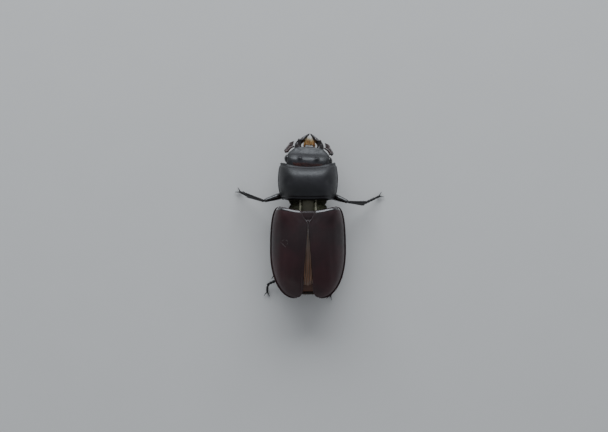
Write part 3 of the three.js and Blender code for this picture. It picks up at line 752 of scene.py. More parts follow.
def make_pronotum():
    """The thorax plate: raised along its rim and both edges, with four shallow hollows, and closed by a collar at
    each end that turns inward."""
    grid = grid_of(pronotum_surface, 200, 110)
    x, z = grid[..., 0], grid[..., 2]
    edge = PRONOTUM["edge"]
    share = closer_at_ends(len(grid))[:, None]
    rim = 0.16 * bump(z, edge + 0.16, 0.13) - 0.1 * bump(z, edge + 0.52, 0.18)
    front = 0.15 * bump(share, 0.016, 0.018) - 0.1 * bump(share, 0.06, 0.02)
    back = 0.1 * bump(share, 0.985, 0.014) - 0.08 * bump(share, 0.945, 0.018)
    disc = -0.06 * bump(x, 0, 0.3) * bump(share, 0.55, 0.25)
    disc = disc - 0.16 * bump(np.abs(x), 4.7, 0.7) * bump(share, 0.55, 0.1)
    disc = disc - 0.1 * bump(np.abs(x), 2.4, 0.9) * bump(share, 0.84, 0.06)
    grid = swollen(grid, (rim + front + back + disc) * (z > edge + 0.02))
    front = collar(grid[0], [(0.3, 0.9), (0.72, 0.85), (0.84, 0.6), (0.92, 0.2), (0.965, -0.04), (0.99, -0.06)])
    back = collar(grid[-1], [(0.99, 0.04), (0.965, 0.03), (0.92, -0.2), (0.84, -0.6), (0.72, -0.85), (0.3, -0.9)])
    grid = np.concatenate([front, grid, back])
    Shape().closed(grid).piece("thorax_plate", [thorax_chitin()], ["pronotum"], "thorax_shell")


# ---------------------------------------------------------------- under the wing cases
def back_surface(inset, low_x, high_x):
    """A strip of the dome under the wing cases, from low_x to high_x, as rows from front to back."""

    def surface(turn, share):
        half = np.maximum(elytra_half(share) - inset, 0.2)
        x = np.clip(mix(low_x, high_x, turn), -half * 0.995, half * 0.995)
        edge = elytra_edge(share)
        high = np.maximum(elytra_crest(share) - inset - edge, 0.1)
        z = edge + high * elytra_height(np.abs(x / half), share)
        return np.stack([x, mix(ELYTRA["front"] + inset, ELYTRA["back"] - inset, share), z], -1)

    return surface


def make_abdomen_back():
    """Nine soft rings, each lapping over the next, the last of them the tip plate."""
    share = np.linspace(0.02, 0.999, 130)
    grid = back_surface(1.35, -8, 8)(*np.meshgrid(np.linspace(0, 1, 70), share))
    ring = (share * 9.0) % 1
    lap = 0.2 * ring - 0.28 * rise((ring - 0.88) / 0.12)
    shape = plate(Shape(), swollen(grid, lap[:, None] * 0.7, closed=False), 0.3)
    shape.piece("abdomen_back_rings", [tergite_cuticle()], ["abdomen_back"], "abdomen_top")


def make_hind_wings():
    """Two folded wings, one over the other: long pleated straps that end in a folded edge."""
    shape = Shape()
    for side, lift, end in ((1, 0.0, 19.3), (-1, 0.16, 18.9)):
        surface = back_surface(0.98 - lift, -1.3 * side, 2.6 * side)
        last = elytra_share(end)
        t, s = np.meshgrid(np.linspace(0, 1, 60), np.linspace(0.2, last, 110))
        grid = surface(t, s - 0.05 * (2 * t - 0.8) ** 2 * rise((s - last + 0.2) / 0.2))
        taper = np.clip((s - last + 0.12) / 0.12, 0, 1)
        pleat = 0.07 * np.sin(2 * np.pi * (t * 4.5 + 0.35 * np.sin(5 * s)))
        pleat = pleat + 0.05 * np.sin(2 * np.pi * (t * 9 + s * 3))
        fold = 0.12 * bump(t, 0.32, 0.05) + 0.1 * bump(s, last, 0.012)
        bulge = 0.62 * bump(grid[..., 0], 0, 1.9) * (1 - taper**2) - (0.3 + lift) * taper**2
        plate(shape, swollen(grid, pleat * (1 - 0.8 * taper) + fold + bulge, closed=False), 0.1)
    shape.piece("folded_hind_wings", [wing_membrane()], ["hind_wings"], "hind_wing")


def keel_surface(front, back, half, top, bottom):
    """A plate of the underside: flat above for one part of the turn, and a rounded belly for the rest."""
    above, below = 0.34, 0.66

    def surface(turn, share):
        turn = turn % 1
        wide, high, y = half(share), top(share), mix(front, back, share)
        angle = np.pi * np.clip((turn - above) / below, 0, 1)
        flat = turn < above
        x = np.where(flat, mix(-wide, wide, turn / above), wide * np.cos(angle))
        z = np.where(flat, high, high - (high - bottom(share)) * np.sin(angle) ** 0.9)
        return np.stack([x, y + 0 * x, z], -1)

    return surface


def under_elytra(y):
    """Just under the side edge of the wing cases."""
    return elytra_edge(elytra_share(y)) - 0.14


prosternum_surface = keel_surface(
    -8.9, -1.1, through((0, 4.8), (0.4, 6.0), (0.75, 5.9), (1, 4.6)), lambda s: PRONOTUM["edge"] - 0.16 + 0 * s,
    through((0, 4.4), (0.35, 3.0), (0.8, 2.6), (1, 3.2)))
metasternum_surface = keel_surface(
    1.0, 8.6, through((0, 6.0), (0.3, 7.1), (1, 7.6)), lambda s: under_elytra(mix(1.0, 8.6, s)),
    through((0, 2.6), (0.3, 2.1), (1, 2.2)))
belly_surface = keel_surface(
    8.72, 20.1, through((0, 7.6), (0.4, 7.4), (0.75, 6.0), (1, 2.6)), lambda s: under_elytra(mix(8.72, 20.1, s)),
    through((0, 2.3), (0.5, 2.4), (0.85, 3.2), (1, 4.4)))


def rounded_keel(surface, around, rows, swell):
    """The keel's grid with swell(x, share) added below its flat top, and its two ends rounded."""
    grid = grid_of(surface, around, rows)
    below = grid[..., 2] < grid[..., 2].max(1)[:, None] - 0.3
    grid = swollen(grid, swell(grid[..., 0], closer_at_ends(rows)[:, None]) * below)
    steps = ((0.985, 0.04), (0.95, 0.07), (0.85, 0.09), (0.5, 0.1))
    front = collar(grid[0], [(scale, -ahead) for scale, ahead in steps[::-1]])
    return np.concatenate([front, grid, collar(grid[-1], steps)])


def make_underside():
    """Two breast plates and the belly."""
    material = underside_chitin()
    # The keel between the front hips, and the hollows that the hips turn in.
    front = rounded_keel(prosternum_surface, 120, 70, lambda x, s: 0.3 * bump(x, 0, 0.7) * rise((s - 0.3) / 0.4)
                         - 0.35 * bump(np.abs(x), 2.6, 1.3) * bump(s, 0.7, 0.16))
    Shape().closed(front).piece("breast_front", [material], ["prosternum"], "underside")
    # A middle groove, and the slanting seam to the side plates.
    rear = rounded_keel(metasternum_surface, 140, 80, lambda x, s: -0.14 * bump(x, 0, 0.16)
                        - 0.14 * bump(np.abs(x) + 1.4 * s, 6.9, 0.14) + 0.12 * bump(np.abs(x), 2.0, 1.4))
    Shape().closed(rear).piece("breast_rear", [material], ["metasternum"], "underside")
    # Five belly rings, each lapping over the next.
    belly = rounded_keel(belly_surface, 140, 130, lambda x, s: 0.22 * ((5 * s) % 1)
                         - 0.28 * rise(((5 * s) % 1 - 0.86) / 0.14) - 0.1 * bump(np.abs(x), 5.4, 0.3))
    Shape().closed(belly).piece("belly_rings", [material], ["abdomen_belly"], "abdomen_belly")


def waist_surface(turn, share):
    """A soft neck from inside the thorax to under the wing cases, rising to meet them."""
    c, s = circle(turn)
    y = mix(-1.0, 3.0, share)
    pinch = 0.4 * bump(y, -0.1, 0.4)
    climb = 1.4 * np.clip((y + 0.6) / 3, 0, 1) + 0.35 * bump(c * 4.3, 0, 1.25)
    high = 3.35 - pinch + climb * (s > 0)
    return np.stack([c * (4.3 - pinch), y + 0 * c, 6.3 + high * s], -1)


def waist_strip(side):
    """The edge of the middle back's shield, a low ridge that carries pale hair."""
    return limb([(1.78 * side, -0.95, 9.5), (1.7 * side, 0.3, 9.9), (1.8 * side, 1.85, 10.56)],
                even(0.14, 0.14), around=24, rows=40)


def make_waist():
    """The joint between the thorax and the wing cases, with the dark shield of the middle back in its centre."""

    def shield(turn, share):
        c, s = circle(turn)
        x, y = c * (1.35 - 0.2 * share), mix(-0.9, 2.1, share) + 0 * c
        return np.stack([x, y, 9.75 + 1.25 * share + 0.42 * s], -1)

    shape = Shape().closed(grid_of(waist_surface, 160, 40)).closed(grid_of(shield, 48, 24))
    for _, side in SIDES:
        shape.closed(waist_strip(side)[0], 1)
    strip = hair_keratinised("waist_strip_pale", srgb("#3a382c"), srgb("#5c5946"))
    shape.piece("waist_joint", [waist_membrane(), strip], ["mesothorax"], "waist")


# ---------------------------------------------------------------- head
def head_matrix():
    """Puts a point of the head's own frame in its place on the neck."""
    return (Matrix.Translation(HEAD["neck"]) @ Matrix.Rotation(math.radians(HEAD["yaw"]), 4, "Z")
            @ Matrix.Rotation(math.radians(HEAD["pitch"]), 4, "X"))


head_half = through((0, 4.3), (0.3, 4.9), (0.5, 5.1), (0.65, 4.8), (0.82, 4.2), (0.94, 3.5), (1, 2.9))
head_top = through((0, 1.7), (0.35, 2.1), (0.7, 1.25), (1, 0.42))
head_bottom = through((0, 2.2), (0.4, 2.3), (0.8, 1.7), (1, 1.0))


def head_surface(turn, share):
    """The head in its own frame, wide and flat, and almost drawn together at the front."""
    c, s = circle(turn)
    close = mix(0.04, 1, rise((1 - share) / 0.07))
    x = (head_half(share) - 0.5 * (1 - close)) * np.sign(c) * np.abs(c) ** 0.8
    deep = np.where(s > 0, head_top(share), head_bottom(share)) * close
    y = mix(1.6, -HEAD["length"], share) + 0.5 * (x / head_half(share)) ** 2 * rise((share - 0.55) / 0.45)
    return np.stack([x * (0.6 + 0.4 * close), y, deep * np.sign(s) * np.abs(s) ** 0.85], -1)


def make_head():
    """The head capsule, the upper lip at its front and the chin plate under it."""
    grid = grid_of(head_surface, 180, 120)
    x, y, z = np.moveaxis(grid, -1, 0)
    up = z > 0.1
    # The two tubercles of the brow, the hollow before them, and the ridge that runs out over each eye.
    swell = up * (0.34 * bump(np.abs(x), 1.85, 0.42) * bump(y, -0.85, 0.42)
                  - 0.24 * bump(x, 0, 2.1) * bump(y, -2.5, 0.8))
    swell = swell + 0.16 * bump(z, 0.35, 0.4) * (np.abs(x) > 2.5) * bump(y, -2.7, 0.95)
    swell = swell + up * (0.16 * bump(np.abs(x), 3.0, 0.5) * bump(y, -3.8, 0.5)
                          + 0.08 * bump(y, -4.1, 0.2) * (np.abs(x) < 2.6))
    swell = swell - 0.12 * (z < -0.6) * bump(x, 0, 0.25)
    shape = Shape().closed(swollen(grid, swell)).moved(head_matrix())
    shape.piece("head_capsule", [head_chitin()], ["head"], "head_shell")
    lip, _ = limb([(0, -4.2, 0.1), (0, -4.7, 0.05), (0, -5.12, -0.12)], lambda s: (1.15 - 0.25 * s, 0.3 - 0.08 * s),
                  around=48, rows=30, square=0.85, ends=(0.1, 0.25))
    lip[..., 1] += 0.22 * bump(lip[..., 0], 0, 0.35) * (lip[..., 1] < -4.8)
    Shape().closed(lip).moved(head_matrix()).piece("upper_lip", [jaw_chitin()], ["labrum"], "head_shell")
    chin, _ = limb([(0, -1.3, -2.3), (0, -3.0, -2.0), (0, -4.4, -1.5)], lambda s: (2.3 - 0.8 * s, 0.36 + 0 * s),
                   around=64, rows=40, square=0.75, ends=(0.06, 0.12))
    Shape().closed(chin).moved(head_matrix()).piece("chin_plate", [head_chitin()], ["mentum"], "underside")


def make_eyes():
    for name, side in SIDES:
        shape = Shape().closed(blob((4.62, -1.35, 0.0), (0.85, 1.0, 0.92), 64, 48))
        shape.mirrored(side).moved(head_matrix()).piece(f"eye_bead_{name}", [eye_cornea()], [f"eye_{name}"], "eye")


def make_jaws():
    """Short curved jaws of the female, each with one strong inner tooth and a small one on top."""
    width = through((0, 0.95), (0.35, 0.68), (0.75, 0.36), (1, 0.16))
    depth = through((0, 0.8), (0.5, 0.6), (1, 0.2))
    material = jaw_chitin()
    for name, side in SIDES:
        grid, _ = limb([(2.4, -3.8, -0.5), (2.5, -5.2, -0.42), (1.36, -6.6, -0.28), (0.08, -7.8, -0.1)],
                       lambda s: (width(s), depth(s)), around=48, rows=70, ends=(0.04, 0.08))
        y = grid[..., 1]
        away = grid - grid.mean(1, keepdims=True)
        inward = np.clip(-away[..., 0] / 0.6, 0, 1)
        tooth = 0.5 * bump(y, -5.9, 0.28) + 0.12 * bump(y, -6.8, 0.18)
        knob = 0.42 * bump(y, -6.0, 0.3) * np.clip(away[..., 2] / 0.5, 0, 1) ** 2
        grid = grid + np.stack([-tooth * inward**2, -0.2 * tooth * inward**2, knob], -1)
        shape = Shape().closed(grid).mirrored(side).moved(head_matrix())
        shape.piece(f"jaw_{name}", [material], [f"mandible_{name}"], "mandible")


def make_mouth_brush():
    """Two hairy lobes side by side, which lick up sap, orange at the root and cream at the tips."""
    colours, count = settings().colours, settings().hair.brush_count
    lobes, surfaces = Shape(), []
    for _, side in SIDES:
        grid, surface = limb([(0.68 * side, -4.3, -0.75), (0.66 * side, -5.4, -0.62), (0.4 * side, -6.4, -0.5)],
                             lambda s: (0.66 - 0.2 * s, 0.36 - 0.08 * s), around=24, rows=24)
        lobes.closed(grid)
        surfaces.append(surface)
    flesh = hair_keratinised("mouth_brush_lobe", srgb("#5c3210"), colours.brush)
    lobes.moved(head_matrix()).piece("mouth_brush_lobes", [flesh], ["mouth_brush"], "mouth_brush")
    gold = hair_keratinised("mouth_brush_hair_gold", colours.brush, srgb("#cba76a"), 0.45)
    cream = hair_keratinised("mouth_brush_hair_cream", srgb("#c9b188"), srgb("#ddd2b6"), 0.45)
    for n, surface in enumerate(surfaces):
        tufts(f"brush_gold_{n}", surface, scatter(10 + n, count, (0, 1), (0.25, 0.8)), (0, -1, 0.1), 0.75, 0.06,
              gold, 20 + n, out=0.35, matrix=head_matrix())
        tufts(f"brush_cream_{n}", surface, scatter(30 + n, count // 2, (0, 0.55), (0.75, 0.99)), (0, -1, 0.15), 0.9,
              0.055, cream, 40 + n, out=0.25, matrix=head_matrix())


def beads(shape, line, overlap, radius, **more):
    """A row of beads along a line, each reaching a little into the next."""
    for first, last in zip(line[:-1], line[1:]):
        shape.closed(rod([first, last + (last - first) * overlap], radius, **more))


def make_feelers():
    """Elbowed feelers: a long first joint along the head's edge, six beads, and a comb of four leaves. The palps
    under them have four beads each."""
    material = feeler_chitin()
    for name, side in SIDES:
        shape = Shape().closed(rod([(3.45, -4.65, -0.5), (4.3, -4.15, -0.42), (5.1, -3.15, -0.55)],
                                   lambda s: 0.2 + 0.16 * s + 0.05 * bump(s, 0.92, 0.08)))
        beads(shape, catmull([(5.1, -3.1, -0.6), (5.4, -3.6, -1.0), (5.1, -4.3, -1.35), (4.7, -4.95, -1.6)], 7),
              0.12, lambda s: 0.15 + 0.13 * rise(s), around=16, rows=12)
        for leaf in range(4):
            root = np.array((4.75 - 0.12 * leaf, -4.8 - 0.36 * leaf, -1.5 - 0.11 * leaf))
            tip = root + (-1.05 + 0.06 * leaf, -0.32 - 0.06 * leaf, -0.08)
            grid, _ = limb([root + (0.12, 0, 0), (root + tip) / 2, tip], lambda s: (0.15 + 0.03 * s, 0.26 + 0.1 * s),
                           up=(0, 0.35, 1), around=18, rows=18, ends=(0.2, 0.3))
            shape.closed(grid)
        shape.closed(rod([(4.82, -4.6, -1.45), (4.4, -5.95, -1.85)], lambda s: 0.22 - 0.04 * s, around=16, rows=12))
        shape.mirrored(side).moved(head_matrix()).piece(f"feeler_{name}", [material], [f"antenna_{name}"], "feeler")
        shape = Shape()
        beads(shape, catmull([(1.7, -4.1, -1.6), (2.4, -5.0, -1.9), (2.7, -6.0, -1.75), (2.3, -6.9, -1.55)], 5),
              0.08, lambda s: 0.2 + 0.13 * rise(s), around=20, rows=16, ends=(0.1, 0.3))
        shape.mirrored(side).moved(head_matrix()).piece(f"palp_beads_{name}", [material], [f"palp_{name}"], "feeler")


# ---------------------------------------------------------------- legs
femur_girth = through((0, 0.6), (0.5, 0.98), (0.9, 0.6), (1, 0.48))


def leg_frame(name):
    """The hip, knee and ankle of a leg, the direction of the shin's outer edge and that of the shin."""
    hip, knee, ankle = (np.array(p, float) for p in LEGS[name][:3])
    edge = np.array([0, -0.25, 1.0] if name.startswith("front") else [np.sign(hip[0]), 0.2, 0.5])
    along = unit(ankle - knee)
    return hip, knee, ankle, unit(edge - along * (edge @ along)), along


def shin_girth(name):
    """Half widths of a shin: slim at the knee, and a broad blade towards the foot in the front legs."""
    width = through((0, 0.3), (0.12, 0.3), (0.5, 0.34), (1, 0.4))
    if name.startswith("front"):
        deep = through((0, 0.34), (0.3, 0.42), (0.7, 0.62), (1, 0.78))
    else:
        deep = through((0, 0.34), (0.5, 0.44), (1, 0.62))
    return lambda s: (width(s), deep(s))


def shin_limb(name, **more):
    """A shin without its thorns, from the knee to the ankle with a slight bow upward."""
    _, knee, ankle, out, _ = leg_frame(name)
    return limb([knee, (knee + ankle) / 2 + (0, 0, 0.12), ankle], shin_girth(name), up=out, **more)


def make_upper_legs():
    """Hip joints and thighs. A thigh has a flat furrow on its under side, where the shin folds in."""
    material = leg_chitin()
    for name in LEGS:
        hip, knee, *_ = leg_frame(name)
        grid = blob(hip - (0, 0, 0.2), (1.22, 0.97, 0.97), 40, 28)
        ridge = 0.1 * bump(grid[..., 1] - hip[1], 0.25, 0.2) - 0.1 * bump(grid[..., 1] - hip[1], -0.3, 0.16)
        grid = swollen(grid, np.clip(ridge, -0.1, 0.02))
        Shape().closed(grid).piece(f"hip_{name}", [material], [f"coxa_{name}"], "leg")
        grid, _ = limb([hip, (hip + knee) / 2 + (0, 0, 0.1), knee], lambda s: (femur_girth(s) * 0.8, femur_girth(s)),
                       around=44, rows=60, ends=(0.05, 0.05))
        away = grid - grid.mean(1, keepdims=True)
        furrow = -0.22 * np.clip(-away[..., 2] / 0.7, 0, 1) ** 2
        grid = swollen(grid, furrow * bump(np.linspace(0, 1, len(grid))[:, None], 0.72, 0.25))
        Shape().closed(grid).piece(f"thigh_{name}", [material], [f"femur_{name}"], "leg")


def make_shins():
    """Shins with blunt thorns along the outer edge, a fork at the end, and two spurs inside it."""
    material = shin_chitin()
    for name in LEGS:
        _, knee, ankle, out, along = leg_frame(name)
        grid, _ = shin_limb(name, around=40, rows=80, square=0.92, ends=(0.05, 0.04))
        groove = bump(np.abs((grid - grid.mean(1, keepdims=True)) @ out), 0, 0.07)
        shape = Shape().closed(swollen(grid, -0.05 * groove))
        # Places along the shin and lengths of the thorns, with the fork last.
        thorns = ((0.56, 0.85), (0.78, 0.35), (0.95, 0.9))
        if name.startswith("front"):
            thorns = ((0.3, 0.55), (0.42, 0.75), (0.55, 0.95), (0.68, 1.1), (0.81, 1.2), (0.95, 1.45))
        for share, length in thorns:
            root = knee + (ankle - knee) * share + (0, 0, 0.24 * share * (1 - share) * 2)
            tip = root + out * (length + 0.1) + along * length * 0.45
            shape.closed(spine(root, tip, 0.24, 18, 18, hook=along * -0.06))
        cross = np.cross(out, along)
        for way, length in ((1, 0.95), (-1, 0.75)):
            root = ankle - along * 0.15 + cross * way * 0.22 - out * 0.3
            shape.closed(spine(root, root + along * length - out * 0.15 + cross * way * 0.12, 0.1, 10, 10))
        shape.piece(f"shin_{name}", [material], [f"tibia_{name}"], "leg")


def make_feet():
    """Five foot joints, each widest at its end, then two hooked claws with two bristles between them."""
    material = shin_chitin()
    ends = np.cumsum([0, 0.17, 0.16, 0.15, 0.15, 0.37])
    for name in LEGS:
        line = catmull(LEGS[name][2:], 200)
        middle, toe = (np.array(p) for p in LEGS[name][3:])
        shape = Shape()
        for first, last in zip(ends[:-1], ends[1:]):
            low, high = int(first * 199), min(int((last + 0.02) * 199), 199)
            wide, deep = (0.13, 0.12) if last > 0.99 else (0.2, 0.13)
            grid, _ = limb(line[[low, (low + high) // 2, high]],
                           lambda s: (0.15 + wide * rise(s, 1.4), 0.14 + deep * rise(s, 1.4)),
                           around=24, rows=22, ends=(0.12, 0.2))
            shape.closed(grid)
        ahead = unit((toe - middle) * (1, 1, 0))
        aside = np.array([-ahead[1], ahead[0], 0])
        for way in (1, -1):
            reach = lambda forward, side, z: (toe + ahead * forward + aside * way * side) * (1, 1, 0) + (0, 0, z)
            claw = [reach(*place) for place in ((-0.08, 0.06, 0.33), (0.32, 0.34, 0.56), (0.72, 0.55, 0.42),
                                                (0.88, 0.64, 0.06))]
            shape.closed(limb(claw, lambda s: (0.13 - 0.1 * s, 0.14 - 0.1 * s), around=16, rows=28,
                              ends=(0.05, 0.2))[0])
            shape.closed(spine(reach(0, 0.03, 0.28), reach(0.5, 0.1, 0.2), 0.04, 8, 8))
        for points in shape.points:
            points[:, 2] = np.maximum(points[:, 2], 0.005)  # Nothing dips under the floor.
        shape.piece(f"foot_{name}", [material], [f"tarsus_{name}"], "foot")


# ---------------------------------------------------------------- coat
def make_coat():
    """The short hair in the joints and along the underside and legs."""
    n, colours = settings().hair.count, settings().colours
    rust = hair_keratinised("neck_hair_rust", srgb("#220d09"), colours.fringe, 0.6)
    pale = hair_keratinised("waist_hair_pale", srgb("#77725c"), colours.waist_hair)
    moss = hair_keratinised("waist_hair_moss", srgb("#24240f"), srgb("#4f5028"), 0.6)
    brown = hair_keratinised("body_hair_brown", srgb("#3a2317"), srgb("#7c5634"))
    dark = hair_keratinised("leg_hair_dark", srgb("#1c110b"), srgb("#432b1b"), 0.6)
    # The fringe on the back of the head, which lies forward out of the thorax plate.
    tufts("neck_fringe", head_surface, scatter(101, int(1000 * n), (0.13, 0.37), (0.04, 0.19)), (0, -1, 0), 0.55,
          0.045, rust, 102, out=0.25, jitter=0.2, matrix=head_matrix())
    # Hair of the waist: moss in the middle and pale at its sides, lying back to the wing cases.
    tufts("waist_moss", waist_surface, scatter(103, int(1900 * n), (0.03, 0.47), (0.03, 0.6)), (0, 1, 0.2), 0.6,
          0.05, moss, 104, out=0.45, jitter=0.4)
    for number, (_, side) in enumerate(SIDES):
        tufts(f"waist_pale_{number}", waist_strip(side)[1],
              scatter(105 + number, int(260 * n), (0.05, 0.45), (0.03, 0.97)), (0.1 * side, 1, 0.1), 0.4, 0.04,
              pale, 107 + number, out=0.3, jitter=0.25)
    # Fur of the underside, lying back.
    for name, surface, count in (("breast_front", prosternum_surface, 900),
                                 ("breast_rear", metasternum_surface, 1500)):
        tufts(f"{name}_fur", surface, scatter(110 + count, int(count * n), (0.38, 0.96), (0.05, 0.95)),
              (0, 1, -0.1), 0.7, 0.045, brown, 111 + count, out=0.2)
    tufts("belly_fur", belly_surface, scatter(112, int(700 * n), (0.38, 0.96), (0.05, 0.97)), (0, 1, 0), 0.45,
          0.04, brown, 113, out=0.12)
    tufts("tail_fringe", belly_surface, scatter(114, int(260 * n), (0.1, 0.9), (0.955, 0.995)), (0, 1, 0.1), 0.6,
          0.045, brown, 115, out=0.3)
    # Bristles in four rows along the shins, and a pile under the feet.
    for number, name in enumerate(LEGS):
        hip, _, _, _, along = leg_frame(name)
        rows = np.concatenate([scatter(120 + number, int(60 * n), (turn - 0.02, turn + 0.02), (0.15, 0.97))
                               for turn in (0.25, 0.5, 0.75, 0.0)])
        tufts(f"shin_bristles_{name}", shin_limb(name)[1], rows, along, 0.5, 0.035, dark, 130 + number,
              out=0.5, jitter=0.15)
        tufts(f"foot_pile_{name}", limb(LEGS[name][2:], even(0.26, 0.24))[1],
              scatter(140 + number, int(110 * n), (0.55, 0.95), (0.05, 0.85)), (0.2 * np.sign(hip[0]), 0, -0.2),
              0.25, 0.035, brown, 150 + number, out=0.9, jitter=0.3)


# ---------------------------------------------------------------- stage
def way_to(azimuth, elevation):
    """The direction from the aim, where azimuth 0 is ahead of the head and 90 degrees on the beetle's left."""
    return Vector((math.sin(azimuth) * math.cos(elevation), -math.cos(azimuth) * math.cos(elevation),
                   math.sin(elevation)))


def lamp(name, azimuth, elevation, distance, size, power, tint, aim):
    """A soft box that faces aim."""
    light = bpy.data.lights.new(name, "AREA")
    light.shape, light.size, light.size_y = "RECTANGLE", size[0], size[1]
    light.energy, light.color = power, tint
    made = placed(name, light)
    made.location = aim + way_to(math.radians(azimuth), math.radians(elevation)) * distance
    made.rotation_euler = (aim - made.location).to_track_quat("-Z", "Y").to_euler()


def make_stage():
    """A paper floor, soft boxes, an even surround and the camera."""
    stage, scene = settings().stage, bpy.context.scene
    mesh = bpy.data.meshes.new("floor")
    half = stage.floor_size / 2
    mesh.from_pydata([(x * half, y * half, 0) for x, y in ((-1, -1), (1, -1), (1, 1), (-1, 1))], [], [(0, 1, 2, 3)])
    mesh.materials.append(studio_paper())
    placed("floor", mesh)
    aim = Vector(ORIGIN) + Vector(stage.aim)
    for name, azimuth, elevation, distance, size, share, tint in LAMPS:
        lamp(name, azimuth, elevation, distance, size, stage.key_power * share, tint, aim)
    world = scene.world or bpy.data.worlds.new("studio")
    scene.world = world
    world.use_nodes = True
    world.node_tree.nodes.clear()
    sky = node(world.node_tree, "Background", {"Color": (0.86, 0.92, 1.0, 1), "Strength": stage.sky})
    node(world.node_tree, "OutputWorld", {"Surface": sky.outputs[0]})
    camera = bpy.data.cameras.new("camera")
    camera.lens, camera.sensor_width = stage.lens, 36
    camera.clip_start, camera.clip_end = 0.01, 20
    scene.camera = placed("camera", camera)
    way = way_to(stage.azimuth, stage.elevation)
    scene.camera.location = aim + way * stage.distance
    scene.camera.rotation_euler = (-way).to_track_quat("-Z", "Y").to_euler()


# ---------------------------------------------------------------- properties, operators and panel
def colour(name, description, code):
    """A colour property, preset to an sRGB hex code."""
    return FloatVectorProperty(name=name, description=description, subtype="COLOR", size=3, min=0, max=1,
                               default=srgb(code))


class ColourSettings(bpy.types.PropertyGroup):
    wing_case: colour("Wing case", "Main tone of the wing cases", "#322829")
    wing_case_glow: colour("Wing case glow", "Chestnut where a wing case is thin", "#452c2f")
    thorax: colour("Thorax", "Black of the thorax and head", "#100f11")
    membrane: colour("Membrane", "Folded hind wings", "#a46c43")
    eye: colour("Eye", "Pigment behind the lenses of the eyes", "#050404")
    brush: colour("Mouth brush", "Golden hair of the mouth", "#b8742a")
    fringe: colour("Neck fringe", "Hair between the head and the thorax", "#5a2517")
    waist_hair: colour("Waist hair", "Pale hair beside the waist", "#b5b09a")


class ShellSettings(bpy.types.PropertyGroup):
    thickness: FloatProperty(name="Wing case thickness", description="Thickness of a wing case at its edges",
                             default=0.0003, min=0.0001, max=0.0006, unit="LENGTH", precision=5)
    bevel: FloatProperty(name="Front bevel", description="Height of the bevel along the front edge of a wing case",
                         default=0.0002, min=0, max=0.001, unit="LENGTH", precision=5)


class HairSettings(bpy.types.PropertyGroup):
    count: FloatProperty(name="Hair", description="Share of the full number of hairs", default=1.0, min=0, max=1,
                         subtype="FACTOR")
    brush_count: IntProperty(name="Brush hairs", description="Golden hairs on each lobe of the mouth", default=420,
                             min=0, max=2000)


class StageSettings(bpy.types.PropertyGroup):
    floor: colour("Floor", "Colour of the paper floor", "#edebe8")
    floor_size: FloatProperty(name="Floor size", description="Side of the floor", default=6, min=0.5, max=20,
                              unit="LENGTH")
    key_power: FloatProperty(name="Soft box", description="Power of the soft box ahead of the head", default=2.45,
                             min=0, max=100, unit="POWER")
    sky: FloatProperty(name="Surround", description="Brightness of the plain surround", default=0.32, min=0, max=5)
    azimuth: FloatProperty(name="Azimuth", description="Camera angle round the beetle, 0 from the head",
                           default=math.pi, subtype="ANGLE", unit="ROTATION")
    elevation: FloatProperty(name="Elevation", description="Camera angle above the floor",
                             default=math.radians(84), subtype="ANGLE", unit="ROTATION")
    distance: FloatProperty(name="Distance", description="From the camera to its aim", default=0.38, min=0.1, max=5,
                            unit="LENGTH")
    lens: FloatProperty(name="Lens", description="Focal length", default=100, min=20, max=300, unit="CAMERA")
    aim: FloatVectorProperty(name="Aim", subtype="XYZ", unit="LENGTH", size=3, precision=5,
                             description="What the camera looks at, from the middle of the front of the wing cases",
                             default=(0.0009, 0.0028, 0.009))


class BeetleSettings(bpy.types.PropertyGroup):
    colours: PointerProperty(type=ColourSettings)
    shell: PointerProperty(type=ShellSettings)
    hair: PointerProperty(type=HairSettings)
    stage: PointerProperty(type=StageSettings)


class STAG_OT_wing_cases(bpy.types.Operator):
    """Adds the two wing cases"""
    bl_idname = "stag_beetle.wing_cases"
    bl_label = "Wing cases"

    def execute(self, context):
        make_wing_cases()
        make_scratch()
        make_suture_painted_highlight()
        return {"FINISHED"}


class STAG_OT_scutellum(bpy.types.Operator):
    """Adds the small shield between the wing cases"""
    bl_idname = "stag_beetle.scutellum"
    bl_label = "Scutellum"

    def execute(self, context):
        make_scutellum()
        return {"FINISHED"}


class STAG_OT_pronotum(bpy.types.Operator):
    """Adds the thorax plate"""
    bl_idname = "stag_beetle.pronotum"
    bl_label = "Thorax plate"

    def execute(self, context):
        make_pronotum()
        return {"FINISHED"}


class STAG_OT_back(bpy.types.Operator):
    """Adds the soft back and the folded hind wings that the wing cases cover"""
    bl_idname = "stag_beetle.back"
    bl_label = "Back and hind wings"

    def execute(self, context):
        make_abdomen_back()
        make_hind_wings()
        return {"FINISHED"}


class STAG_OT_underside(bpy.types.Operator):
    """Adds the breast plates and the belly"""
    bl_idname = "stag_beetle.underside"
    bl_label = "Underside"

    def execute(self, context):
        make_underside()
        return {"FINISHED"}


class STAG_OT_waist(bpy.types.Operator):
    """Adds the joint between the thorax and the wing cases"""
    bl_idname = "stag_beetle.waist"
    bl_label = "Waist"

    def execute(self, context):
        make_waist()
        return {"FINISHED"}


class STAG_OT_head(bpy.types.Operator):
    """Adds the head with its upper lip, chin plate and eyes"""
    bl_idname = "stag_beetle.head"
    bl_label = "Head and eyes"

    def execute(self, context):
        make_head()
        make_eyes()
        return {"FINISHED"}


class STAG_OT_jaws(bpy.types.Operator):
    """Adds the two jaws and the golden brush between them"""
    bl_idname = "stag_beetle.jaws"
    bl_label = "Jaws and mouth brush"

    def execute(self, context):
        make_jaws()
        make_mouth_brush()
        return {"FINISHED"}


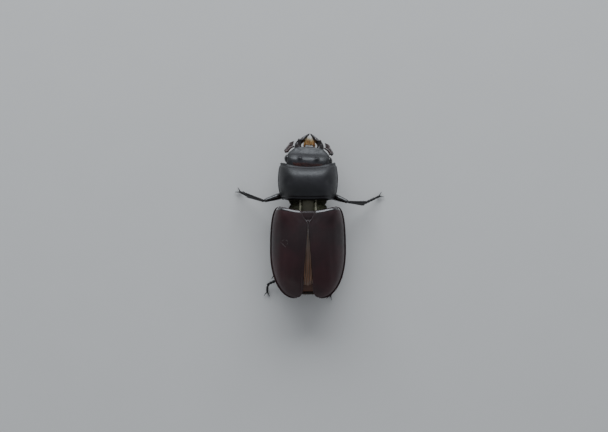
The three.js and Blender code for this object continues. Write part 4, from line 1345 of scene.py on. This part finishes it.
class STAG_OT_feelers(bpy.types.Operator):
    """Adds the two feelers and the two palps"""
    bl_idname = "stag_beetle.feelers"
    bl_label = "Feelers"

    def execute(self, context):
        make_feelers()
        return {"FINISHED"}


class STAG_OT_legs(bpy.types.Operator):
    """Adds the six legs"""
    bl_idname = "stag_beetle.legs"
    bl_label = "Legs"

    def execute(self, context):
        make_upper_legs()
        make_shins()
        make_feet()
        return {"FINISHED"}


class STAG_OT_coat(bpy.types.Operator):
    """Adds the short hair of the joints, underside and legs"""
    bl_idname = "stag_beetle.coat"
    bl_label = "Hair"

    def execute(self, context):
        make_coat()
        return {"FINISHED"}


class STAG_OT_stage(bpy.types.Operator):
    """Adds the floor, the lights and the camera"""
    bl_idname = "stag_beetle.stage"
    bl_label = "Stage"

    def execute(self, context):
        make_stage()
        return {"FINISHED"}


OPERATORS = (STAG_OT_wing_cases, STAG_OT_scutellum, STAG_OT_pronotum, STAG_OT_back, STAG_OT_underside, STAG_OT_waist,
             STAG_OT_head, STAG_OT_jaws, STAG_OT_feelers, STAG_OT_legs, STAG_OT_coat, STAG_OT_stage)


class STAG_PT_panel(bpy.types.Panel):
    """Lists the pieces of the beetle and their settings"""
    bl_idname = "STAG_PT_panel"
    bl_label = "Stag Beetle"
    bl_space_type = "VIEW_3D"
    bl_region_type = "UI"
    bl_category = "Stag Beetle"

    def draw(self, context):
        for title in ("colours", "shell", "hair", "stage"):
            group = getattr(context.scene.stag_beetle, title)
            box = self.layout.box()
            box.label(text=title.capitalize())
            for name in group.__annotations__:
                box.prop(group, name)
        for operator in OPERATORS:
            self.layout.operator(operator.bl_idname)


CLASSES = (ColourSettings, ShellSettings, HairSettings, StageSettings, BeetleSettings) + OPERATORS + (STAG_PT_panel,)


def register():
    for kind in CLASSES:
        bpy.utils.register_class(kind)
    bpy.types.Scene.stag_beetle = PointerProperty(type=BeetleSettings)


def unregister():
    del bpy.types.Scene.stag_beetle
    for kind in reversed(CLASSES):
        bpy.utils.unregister_class(kind)


def main():
    register()
    for operator in OPERATORS:
        getattr(bpy.ops.stag_beetle, operator.bl_idname.split(".")[1])()


if __name__ == "__main__":
    main()
